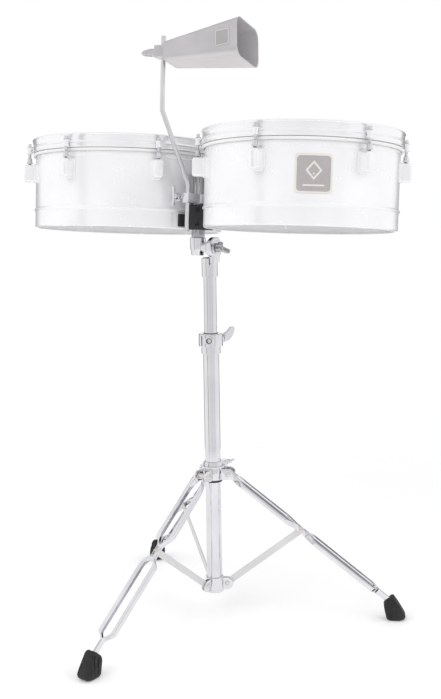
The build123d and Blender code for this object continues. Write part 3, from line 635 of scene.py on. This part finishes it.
def cowbell():
    """Folded sheet bell: rounded closed end, tapering sides, rolled mouth."""
    low, high = extent("cowbell", BELL_BODY)
    place = BELL_BODY @ shift(0, (low.y + high.y) / 2, (low.z + high.z) / 2)
    long = high.x - low.x
    mouth_wide, mouth_tall = high.y - low.y, high.z - low.z

    def section(x, inset):
        t = x / long
        wide = BELL_END_WIDE + t * (mouth_wide - BELL_END_WIDE)
        tall = BELL_END_TALL + t * (mouth_tall - BELL_END_TALL)
        r = BELL_END_ROUND + t * (BELL_MOUTH_ROUND - BELL_END_ROUND)
        outline = rounded(wide - 2 * inset, tall - 2 * inset, max(r - inset, 1.5), 10)
        return across(outline, low.x + x)

    outer = [section(0, 4.0), section(0.3, 2.4), section(1.2, 1.0), section(2.6, 0.25), section(4, 0)]
    outer += [section(long * n / 12, 0) for n in range(1, 12)]
    rim = [section(long - 0.8, 0), section(long - 0.2, 0.3), section(long, 0.8),
           section(long - 0.2, 1.3), section(long - 0.8, BELL_WALL)]
    inner = [section(long * n / 6, BELL_WALL) for n in range(5, 0, -1)]
    inner += [section(4, BELL_WALL + 0.4), section(2.2, BELL_WALL + 3)]
    skin = bmesh.new()
    loft(skin, outer + rim, place)
    skin.faces.ensure_lookup_table()
    skin.faces.remove(skin.faces[-1])
    piece("cowbell.folded", skin, "cowbell")
    # The inner wall takes the paler copy of the bell's colour: painted light inside the mouth.
    painted_light_inside = bmesh.new()
    loft(painted_light_inside, rim[-1:] + inner, place)
    painted_light_inside.faces.ensure_lookup_table()
    painted_light_inside.faces.remove(painted_light_inside.faces[-2])
    piece("cowbell.lining", painted_light_inside, "cowbell", material=INSIDE_PAINTED_LIGHT)


def rod():
    """Round bar bent twice in one upright plane."""
    points = [Vector(p) for p in ROD_BENDS]
    path = [points[0]]
    for before, corner, after in zip(points, points[1:], points[2:]):
        to_before, to_after = (before - corner).normalized(), (after - corner).normalized()
        half = to_before.angle(to_after) / 2
        reach = ROD_BEND_R / sin(half) * cos(half)
        centre = corner + (to_before + to_after).normalized() * ROD_BEND_R / sin(half)
        start, end = corner + to_before * reach - centre, corner + to_after * reach - centre
        axis, swing = start.cross(end), start.angle(end)
        path += [centre + Matrix.Rotation(swing * n / 12, 3, axis) @ start for n in range(13)]
    path.append(points[-1])
    side = (points[2] - points[1]).cross(Vector((0, 0, 1))).normalized()
    rings = []
    for n, point in enumerate(path):
        ahead = path[min(n + 1, len(path) - 1)] - path[max(n - 1, 0)]
        up = ahead.normalized().cross(side)
        sizes = {0: (ROD_TIP_R, ROD_R), len(path) - 1: (ROD_R, ROD_TIP_R)}.get(n, (ROD_R,))
        for r in sizes:
            ring = []
            for k in range(SMALL_ROUND):
                a = 2 * pi * k / SMALL_ROUND
                ring.append(point + side * r * cos(a) + up * r * sin(a))
            rings.append(ring)
    shape = bmesh.new()
    loft(shape, rings, CARRIER)
    piece("cowbell_rod.bar", shape, "cowbell_rod", 0.3)


def screw_body(shape, place, shank_r, back, hub_r, hub_long):
    """Shank behind the origin and rounded hub ahead of it, along X."""
    lathe(shape, [(0, -back), (shank_r - 0.5, -back), (shank_r, -back + 0.6), (shank_r, 0),
                  (hub_r * 0.92, 0), (hub_r, 0.8), (hub_r * 0.86, hub_long - 1.6),
                  (hub_r * 0.6, hub_long - 0.3), (0, hub_long)], lying(place))


def winged(node, place, body, outline, thick, soft=1.0, material=None):
    """Wing screw or nut: turned body along X with cast wings."""
    shape = bmesh.new()
    screw_body(shape, place, *body)
    slab(shape, softened_outline(outline), thick, place)
    piece(node + ".cast", shape, node, soft, material)


def butterfly(root, span, reach):
    """Outline of two rounded wings that lean forward."""
    half = [(root, 0.16 * span), (0.42 * reach, 0.42 * span), (0.62 * reach, 0.52 * span),
            (1.06 * reach, 0.54 * span), (1.06 * reach, 0.36 * span), (0.72 * reach, 0.16 * span)]
    return half + [(0.66 * reach, 0)] + [(x, -z) for x, z in reversed(half)]


def wing_nut():
    """Wing nut of the rod clamp, with the end of its bolt behind it."""
    nut = spoke_of("bell_nut_turn", joint("bell_nut_turn")["axis"], joint("bell_turn")["axis"])
    outline = [(8.2, -4), (8.6, -18.4), (15.2, -18.4), (13, -9), (12, 0), (13, 9), (15.2, 18.4),
               (8.6, 18.4), (8.2, 4)]
    shape = bmesh.new()
    screw_body(shape, nut, 2.5, 14, 6.2, 10.5)
    slab(shape, softened_outline(outline, 2), 4.4, nut)
    lathe(shape, [(0, -18.6), (3.6, -18.6), (4.6, -17.8), (4.6, -15), (0, -15)], lying(nut))
    piece("cowbell_wing_nut.cast", shape, "cowbell_wing_nut", 0.8)


def thumb_screw():
    """Long tapered thumb screw behind the bell."""
    thumb = spoke_of("bell_screw_turn", joint("bell_screw_turn")["axis"],
                     joint("bell_turn")["axis"])
    shape = bmesh.new()
    for start, stop, r0, r1 in ((0, 9, 6.8, 6.0), (9, 18, 4.6, 3.9), (18, 29, 3.7, 2.8)):
        lathe(shape, [(0, start), (r0 - 0.6, start), (r0, start + 0.8), (r1, stop - 0.8),
                      (r1 - 0.6, stop), (0, stop)], lying(thumb))
    lathe(shape, [(0, -8), (3.0, -8), (3.0, 0), (0, 0)], lying(thumb))
    grip = [(4, -7.4), (17, -6.4), (29, -3.6), (29, 3.6), (17, 6.4), (4, 7.4)]
    slab(shape, softened_outline(grip), 3.4, thumb)
    piece("cowbell_thumb_screw.cast", shape, "cowbell_thumb_screw", 0.5)


def bell_hardware():
    """Everything that holds the bell."""
    wing_nut()
    thumb_screw()
    eased("cowbell_clamp", 0.8)
    eased("cowbell_bracket", 0.8)


# ---- post, tilting joint and block ----
TUBE_WALL, LINER_WALL, BUSHING_WALL, END_ROUND = 1.6, 2.4, 2.0, 0.6
PIN_BORE_R = 4.1
TOOTH_R, TOOTH_DEEP, TEETH = 14.3, 1.0, 36


def tube(node, space, r, wall, material=None):
    """Plain tube or bar along Z, with slightly rounded ends."""
    low, high = (corner.z for corner in extent(node, space))
    e = END_ROUND
    outline = [(r - wall, low), (r - e, low), (r, low + e), (r, high - e), (r - e, high),
               (r - wall, high)]
    shape = bmesh.new()
    lathe(shape, outline, space, TUBE_ROUND)
    piece(node + ".turned", shape, node, material=material)


def radius_of(node, space):
    """Half of a round node's width in a frame."""
    low, high = extent(node, space)
    return (high.x - low.x) / 2


def axis_space(node, space):
    """Frame like another one, but on the node's own middle line."""
    low, high = extent(node, space)
    return space @ shift((low.x + high.x) / 2, (low.y + high.y) / 2)


def toothed(shape, place, x0, x1):
    """Short toothed boss along X: two points on each tooth and two between teeth."""
    ring = []
    for n in range(4 * TEETH):
        a = 2 * pi * n / (4 * TEETH)
        radius = TOOTH_R if n % 4 < 2 else TOOTH_R - TOOTH_DEEP
        ring.append((radius * cos(a), radius * sin(a)))
    loft(shape, [across(ring, x) for x in (x0, x1)], place)


def tilter_base():
    """Split sleeve, short neck and the fixed disc with its toothed face."""
    disc_out = extent("tilter_base", CARRIER)[1].x
    sleeve_low = extent("tilter_base", STAND)[0].z
    pivot = (STAND.inverted() @ CARRIER.translation).z
    hinge = space_of(CARRIER.translation, joint("drum_tilt")["axis"], (0, 0, 1))
    disc_r, disc_thick, bore_r, neck_out = 18.8, 11.6, 4.05, 11.0
    outer, inner, top = 14.2, 11.5, pivot - 17.2
    slot_end, around = 274, 352
    shape = bmesh.new()
    lathe(shape, [(inner, sleeve_low), (outer - 0.8, sleeve_low), (outer, sleeve_low + 0.8),
                  (outer, top - 2), (outer - 2.5, top), (inner, top)], STAND, TUBE_ROUND, slot_end,
          around)
    neck = [[(x, y, z) for x, y in rounded(wide, 20 * k, 2.2)] for z, wide, k in
            ((-26, 9, 1.0), (-14, 11, 1.0), (-6, 11, 0.9))]
    loft(shape, [[(x + neck_out, y, z) for x, y, z in ring] for ring in neck], hinge)
    face = disc_out - disc_thick
    lathe(shape, [(bore_r, face), (disc_r - 1.6, face), (disc_r, face + 1.6), (disc_r, disc_out - 2.4),
                  (disc_r - 1.6, disc_out - 0.8), (disc_r - 6, disc_out - 0.8),
                  (disc_r - 7, disc_out), (bore_r, disc_out)], lying(hinge), TUBE_ROUND)
    toothed(shape, hinge, face - 2.2, face + 0.4)
    piece("tilter_base.cast", shape, "tilter_base")


def tilter_head():
    """Tapered cup for the post, with a neck and a toothed flange to one side."""
    low, high = extent("tilter_head", CARRIER)
    post = axis_space("drum_post", CARRIER)
    cup_r, socket_r, socket_deep, neck_r, flange_r = 14.4, 11.9, 11, 9.5, 12
    shape = bmesh.new()
    lathe(shape, [(0, low.z), (cup_r - 4.4, low.z), (cup_r - 3.4, low.z + 1), (cup_r, high.z - 9),
                  (cup_r, high.z - 1), (cup_r - 1, high.z), (socket_r, high.z),
                  (socket_r, high.z - socket_deep), (0, high.z - socket_deep)], post, TUBE_ROUND)
    start = -(post.translation - CARRIER.translation).length / MM * 0.6
    lathe(shape, [(PIN_BORE_R, start), (neck_r, start), (neck_r, high.x - 6),
                  (flange_r, high.x - 3.6), (flange_r, high.x - 2), (PIN_BORE_R, high.x - 2)],
          lying(CARRIER), TUBE_ROUND)
    toothed(shape, CARRIER, high.x - 2.6, high.x)
    piece("tilter_head.cast", shape, "tilter_head")


def height_collar():
    """Stepped split clamp: turned body with a slot, a boss and a round cap."""
    low, high = extent("height_collar", STAND)
    screw = in_stand("height_screw_turn")
    pin = solid_middles("height_collar_pin", STAND)[0]
    body_r, ring_r, ring_top, bore_r, lip_r = 21.8, 17.2, low.z + 13.5, 14.4, 12.8
    slot_low, slot_high, slot_at, slot_half = ring_top + 2, high.z - 3, 222.0, 3.2
    boss_start, boss_bore_r = 16, 5.3
    shape = bmesh.new()
    lathe(shape, [(bore_r, low.z), (ring_r - 0.8, low.z), (ring_r, low.z + 0.8), (ring_r, ring_top),
                  (body_r - 1.0, ring_top), (body_r, ring_top + 1.0), (body_r, slot_low),
                  (bore_r, slot_low)], STAND, TUBE_ROUND)
    lathe(shape, [(bore_r, slot_low), (body_r, slot_low), (body_r, slot_high), (bore_r, slot_high)],
          STAND, TUBE_ROUND, slot_at + slot_half, 360 - 2 * slot_half)
    lathe(shape, [(lip_r, slot_high), (body_r, slot_high), (body_r, high.z - 1.8),
                  (body_r - 0.6, high.z - 0.6), (body_r - 1.8, high.z), (lip_r, high.z)], STAND,
          TUBE_ROUND)
    for point, r, reach in ((screw, 7.5, screw.xy.length - 0.5), (pin, 8.4, pin.xy.length + 2.2)):
        spoke = STAND @ turn(azimuth(point)) @ shift(0, 0, screw.z)
        lathe(shape, [(boss_bore_r, boss_start), (r, boss_start), (r, reach - 0.8), (r - 0.8, reach),
                      (boss_bore_r, reach)], lying(spoke))
    piece("height_collar.cast", shape, "height_collar")


def build_middle():
    """Post, tilter, block and drum brackets."""
    post = axis_space("drum_post", CARRIER)
    r = radius_of("drum_post", CARRIER)
    # The post and the wing bolt below take the darker chrome copy: painted dark reflection.
    tube("drum_post", post, r, r, material=CHROME_PAINTED_DARK)
    tilt = spoke_of("tilt_bolt_turn", joint("tilt_bolt_turn")["axis"],
                    joint("left_head_lift")["axis"])
    winged("tilter_wing_bolt", tilt @ turn(62, "X"), (4.0, 58.0, 8.4, 10.0),
           butterfly(3.0, 29.0, 18.2), 6.4, 1.6, CHROME_PAINTED_DARK)
    tilter_base()
    tilter_head()
    for node, soft in (("mount_block", 1.2), ("left_drum_bracket", 0.8), ("right_drum_bracket", 0.8)):
        eased(node, soft)


# ---- column ----
def rivet_heads(shape, place, half):
    """Round heads, flat underneath and domed on top, on both ends of a rivet along Y."""
    r, tall = RIVET_HEAD_R, RIVET_HEAD_TALL
    for side in (-1, 1):
        head = place @ shift(0, side * half, 0) @ turn(-90 * side, "X")
        lathe(shape, [(0, 0), (r, 0), (r, 0.25 * tall), (0.86 * r, 0.62 * tall),
                      (0.55 * r, 0.9 * tall), (0, tall)], head, TINY_ROUND)


def rivets(node, pivot, half):
    """The three rivets of one joint of the legs, round the stand."""
    where = in_stand(pivot)
    shape = bmesh.new()
    for number in LEGS:
        rivet_heads(shape, STAND @ turn(leg_azimuth(number)) @ shift(where.xy.length, 0, where.z), half)
    piece(node + ".domed", shape, node, material=WARM)


def collar_pin():
    """Bright socket-headed pin sunk in the front of the height clamp, with painted shade round it and in its
    socket.
    """
    middle = solid_middles("height_collar_pin", STAND)[0]
    spoke = STAND @ turn(azimuth(middle))
    back, face = (corner.x for corner in extent("height_collar_pin", spoke))
    place = lying(spoke @ shift(0, 0, middle.z))
    socket_r, pin_r = 1.6, 3.6
    head = bmesh.new()
    lathe(head, [(socket_r, back), (pin_r, back), (pin_r, face - 0.5), (pin_r - 0.5, face),
                 (socket_r + 0.3, face), (socket_r, face - 0.4)], place)
    piece("height_collar_pin.head", head, "height_collar_pin")
    # painted shade: a black ring round the pin and a black disc at the floor of its socket
    recess_painted_shade = bmesh.new()
    lathe(recess_painted_shade, [(pin_r, back), (5.2, back), (5.2, face + 0.75), (4.6, face + 0.85),
                 (4.2, back + 0.5), (pin_r, back + 0.4)], place)
    lathe(recess_painted_shade, [(0, back), (socket_r, back), (socket_r, back + 0.6), (0, back + 0.6)], place)
    piece("height_collar_pin.hole", recess_painted_shade, "height_collar_pin", material=MATERIALS["black_cast"])


def build_column():
    """Tubes, their collars, and the two wing screws that clamp on them."""
    for node, wall in (("lower_tube", TUBE_WALL), ("upper_tube", TUBE_WALL),
                       ("hub_liner", LINER_WALL), ("height_bushing", BUSHING_WALL)):
        tube(node, STAND, radius_of(node, STAND), wall)
    height_collar()
    for node, soft in (("lower_collar", 0.7), ("hub", 0.9), ("hub_lock_ring", 0.8)):
        eased(node, soft)
    collar_pin()
    height = spoke_of("height_screw_turn", joint("height_screw_turn")["axis"])
    paddle = [(1, -7.4), (8, -6.4), (17, -2), (24.6, 8), (26.6, 19.6), (19, 20.6), (12, 13), (1, 7.6)]
    winged("height_wing_screw", height, (3.0, 9.0, 7.4, 8.0), paddle, 5.0, 1.2)
    lock = spoke_of("hub_screw_turn", joint("hub_screw_turn")["axis"])
    winged("hub_wing_screw", lock @ turn(60, "X"), (2.5, 9.0, 4.8, 7.5), butterfly(2.0, 16.0, 13.2),
           3.6, 0.9)


# ---- legs ----
STRAP = 2.0
STRAP_FLAT, STRAP_FOLDED, STRAP_FLANGE = 10.8, 8.6, 7.2
HUB_GAP, KNEE_GAP, BELLY, TAIL_GAP = 7.05, 1.95, 16.0, 0.35
LEG_START, LEG_BELLY_START, LEG_BELLY_END, LEG_CLOSED, LEG_TAIL = -8, 36.0, 330.0, 346, 374.0
STRAP_STEP = 2


def blended(stations, x):
    """Value between stations, with smooth ends to every slope."""
    for (x0, v0), (x1, v1) in zip(stations, stations[1:]):
        if x <= x1:
            t = max(0.0, (x - x0) / (x1 - x0))
            t = t * t * (3 - 2 * t)
            return v0 + t * (v1 - v0)
    return stations[-1][1]


def channel(inner, half, flange, side):
    """Section of a strap: a web with two flanges turned towards the leg's middle."""
    out = inner + STRAP
    tip = out - flange
    corner = 1.4
    section = [(out - corner, half), (out - 0.4, half - 0.4), (out, half - corner),
               (out, corner - half), (out - 0.4, 0.4 - half), (out - corner, -half),
               (tip, -half), (tip, STRAP * 0.8 - half), (inner, STRAP * 0.8 - half),
               (inner, half - STRAP * 0.8), (tip, half - STRAP * 0.8), (tip, half)]
    return [(side * y, z) for y, z in section]


def straps(number, knee):
    """Two pressed straps: flat and close at hub, knee and foot, folded and apart between."""
    place = leg_space(number)
    top0, top1, low0, low1 = LEG_BELLY_START, knee - 35, knee + 33, LEG_BELLY_END
    gap = ((LEG_START, HUB_GAP), (10, HUB_GAP), (top0, BELLY), (top1, BELLY), (knee - 9, KNEE_GAP),
           (knee + 9, KNEE_GAP), (low0, BELLY), (low1, BELLY), (LEG_CLOSED, TAIL_GAP),
           (LEG_TAIL, TAIL_GAP))
    folded = ((LEG_START, 0), (18, 0), (top0, 1), (top1, 1), (knee - 14, 0), (knee + 14, 0),
              (low0, 1), (low1, 1), (LEG_CLOSED, 0), (LEG_TAIL, 0))
    stations = int((LEG_TAIL - LEG_START) / STRAP_STEP) + 1
    xs = [LEG_START + STRAP_STEP * n for n in range(stations)]
    shape = bmesh.new()
    for side in (-1, 1):
        rings = []
        for x in xs:
            fold = blended(folded, x)
            half = (STRAP_FLAT + fold * (STRAP_FOLDED - STRAP_FLAT)) / 2
            if x < -4:
                half *= sqrt(max(0.15, 1 - ((-4 - x) / 4.4) ** 2))
            flange = STRAP + fold * (STRAP_FLANGE - STRAP)
            rings.append(across(channel(blended(gap, x), half, flange, side), x))
        loft(shape, rings, place)
    node = f"leg_{number}_straps"
    piece(node + ".pressed", shape, node)


def knee_hardware(number, knee):
    """Spacer sleeve between the straps at the hub, and the knee's rivet."""
    place = leg_space(number)
    shape = bmesh.new()
    lathe(shape, [(3.1, -HUB_GAP), (5.0, -HUB_GAP), (5.0, HUB_GAP), (3.1, HUB_GAP)],
          place @ turn(90, "X"))
    rivet_heads(shape, place @ shift(knee), KNEE_GAP + STRAP)
    node = f"leg_{number}_hardware"
    piece(node + ".rivets", shape, node, material=WARM)


def foot(number):
    """Flared rubber boot with upright ribs on its two cheeks."""
    upright = STAND @ turn(leg_azimuth(number))
    profile = [(309.5, 31), (327.0, 46.5), (338.5, 30.0), (350.2, 9.5), (347.5, 3.0),
               (338.0, 0.2), (322.0, 0.2), (315.5, 3.0)]
    middle = (331.0, 20.0)
    smooth = softened_outline(profile, 3, 0.86)

    def shrunk(k):
        return [(middle[0] + (x - middle[0]) * k, middle[1] + (z - middle[1]) * k) for x, z in smooth]

    shape = bmesh.new()
    rings = []
    for y, k in ((-12.8, 0.80), (-12.4, 0.88), (-11.2, 0.95), (-9, 1.0), (9, 1.0), (11.2, 0.95),
                 (12.4, 0.88), (12.8, 0.80)):
        ring = []
        for x, z in shrunk(k):
            lean = 1 - 0.16 * max(0.0, z) / 46
            ring.append((x, y * lean, z))
        rings.append(ring)
    loft(shape, rings, upright)
    for side in (-1, 1):
        for x, top in ((320.5, 33), (329.0, 40), (337.5, 27)):
            rib = [(x - 2.6, 5), (x + 2.6, 5), (x + 1.8, top - 4), (x - 1.8, top)]
            slab(shape, softened_outline(rib, 2, 0.86), 3.0, upright @ shift(0, side * 11.4, 0))
    node = f"leg_{number}_foot"
    piece(node + ".boot", shape, node, 0.5)


def brace(number):
    """Flat bar with round ends, from the lower collar to the knee."""
    place = brace_space(number)
    long = extent(f"leg_{number}_brace", place)[1].x - BRACE_WIDE / 2
    outline = arc(long, 0, BRACE_WIDE / 2, -90, 90, 12) + arc(0, 0, BRACE_WIDE / 2, 90, 270, 12)
    shape = bmesh.new()
    slab(shape, outline, BRACE_THICK, place)
    node = f"leg_{number}_brace"
    piece(node + ".bar", shape, node, 0.9, DULL)


def build_legs():
    """Legs, feet and braces, and the rivets at hub and lower collar."""
    for number in LEGS:
        knee = extent(f"leg_{number}_hardware", leg_space(number))[1].x - RIVET_HEAD_R
        straps(number, knee)
        knee_hardware(number, knee)
        foot(number)
        brace(number)
    rivets("hub_rivets", "leg_1_swing", 12.0)
    rivets("lower_collar_rivets", "brace_1_swing", 4.4)


for drum_side in ("left", "right"):
    drum(drum_side)
badge()
label()
cowbell()
rod()
bell_hardware()
build_middle()
build_column()
build_legs()


# ---- floor, light and camera ----
FLOOR_R = 1.3
SKY = ((0.0, 0.80), (0.10, 0.88), (0.138, 0.92), (0.148, 0.22), (0.156, 0.30), (0.166, 0.96),
       (0.25, 1.0), (0.375, 1.0), (0.395, 0.16), (0.45, 0.12), (0.46, 1.0), (0.54, 1.0),
       (0.55, 0.12), (0.605, 0.16), (0.625, 1.0), (0.75, 1.0), (0.86, 0.95), (0.89, 0.72),
       (0.92, 0.86), (1.0, 0.80))


def floor():
    """Round pale sheet that the feet stand on."""
    shape = bmesh.new()
    for n in range(ROUND):
        shape.verts.new(turn(360 * n / ROUND) @ Vector((FLOOR_R, 0, 0)))
    shape.faces.new(shape.verts)
    mesh = bpy.data.meshes.new("floor")
    shape.to_mesh(mesh)
    shape.free()
    ground = bpy.data.objects.new("floor", mesh)
    bpy.context.scene.collection.objects.link(ground)
    material, _, _, shader = new_material("floor")
    shader.inputs["Base Color"].default_value = (0.97, 0.97, 0.97, 1)
    shader.inputs["Roughness"].default_value = 0.9
    shader.inputs["Emission Color"].default_value = (1, 1, 1, 1)
    shader.inputs["Emission Strength"].default_value = 0.14
    mesh.materials.append(material)


def studio():
    """White room with grey upright panels for the metal to reflect: SKY holds (turn, grey)."""
    world = bpy.data.worlds.new("studio")
    world.use_nodes = True
    bpy.context.scene.world = world
    nodes, links = world.node_tree.nodes, world.node_tree.links
    place = nodes.new("ShaderNodeTexCoord")
    split = nodes.new("ShaderNodeSeparateXYZ")
    links.new(place.outputs["Generated"], split.inputs["Vector"])
    angle = nodes.new("ShaderNodeMath")
    angle.operation = "ARCTAN2"
    links.new(split.outputs["X"], angle.inputs[0])
    links.new(split.outputs["Y"], angle.inputs[1])
    around = nodes.new("ShaderNodeMapRange")
    around.inputs["From Min"].default_value = -pi
    around.inputs["From Max"].default_value = pi
    links.new(angle.outputs["Value"], around.inputs["Value"])
    ramp = nodes.new("ShaderNodeValToRGB")
    links.new(around.outputs["Result"], ramp.inputs["Fac"])
    ramp.color_ramp.elements[0].position = SKY[0][0]
    ramp.color_ramp.elements[1].position = SKY[-1][0]
    for position, _ in SKY[1:-1]:
        ramp.color_ramp.elements.new(position)
    for element, (_, grey) in zip(ramp.color_ramp.elements, SKY):
        element.color = (grey, grey, grey * 1.01, 1)
    background = nodes["Background"]
    links.new(ramp.outputs["Color"], background.inputs["Color"])
    background.inputs["Strength"].default_value = 1.0


def soft_light(name, place, aim, size, power):
    """Square area light that lights the object but isn't mirrored in it."""
    data = bpy.data.lights.new(name, "AREA")
    data.size = size
    data.energy = power
    light = bpy.data.objects.new(name, data)
    light.visible_glossy = False
    light.location = place
    light.rotation_euler = (Vector(aim) - Vector(place)).to_track_quat("-Z", "Y").to_euler()
    bpy.context.scene.collection.objects.link(light)


CAMERA_BACK = 1814.3
CAMERA_HIGH = 741.0
CAMERA_LENS = 52.25
CAMERA_PITCH, CAMERA_YAW, CAMERA_ROLL = 7.69, -0.54, -0.89


def camera():
    """Camera at standing distance, low, looking slightly down."""
    data = bpy.data.cameras.new("camera")
    data.lens = CAMERA_LENS
    data.sensor_width = 36.0
    data.clip_end = 60.0
    viewer = bpy.data.objects.new("camera", data)
    aim = turn(CAMERA_YAW) @ turn(90 - CAMERA_PITCH, "X") @ turn(CAMERA_ROLL)
    aim.translation = STAND @ Vector((0.0, -CAMERA_BACK, CAMERA_HIGH))
    viewer.matrix_world = aim
    bpy.context.scene.collection.objects.link(viewer)
    bpy.context.scene.camera = viewer


floor()
studio()
soft_light("key", (-2.2, -2.6, 3.0), (0, 0, 0.8), 2.2, 34.0)
soft_light("fill", (2.8, -1.6, 2.2), (0, 0, 0.8), 2.0, 16.0)
camera()
bpy.context.scene.view_settings.view_transform = "Standard"
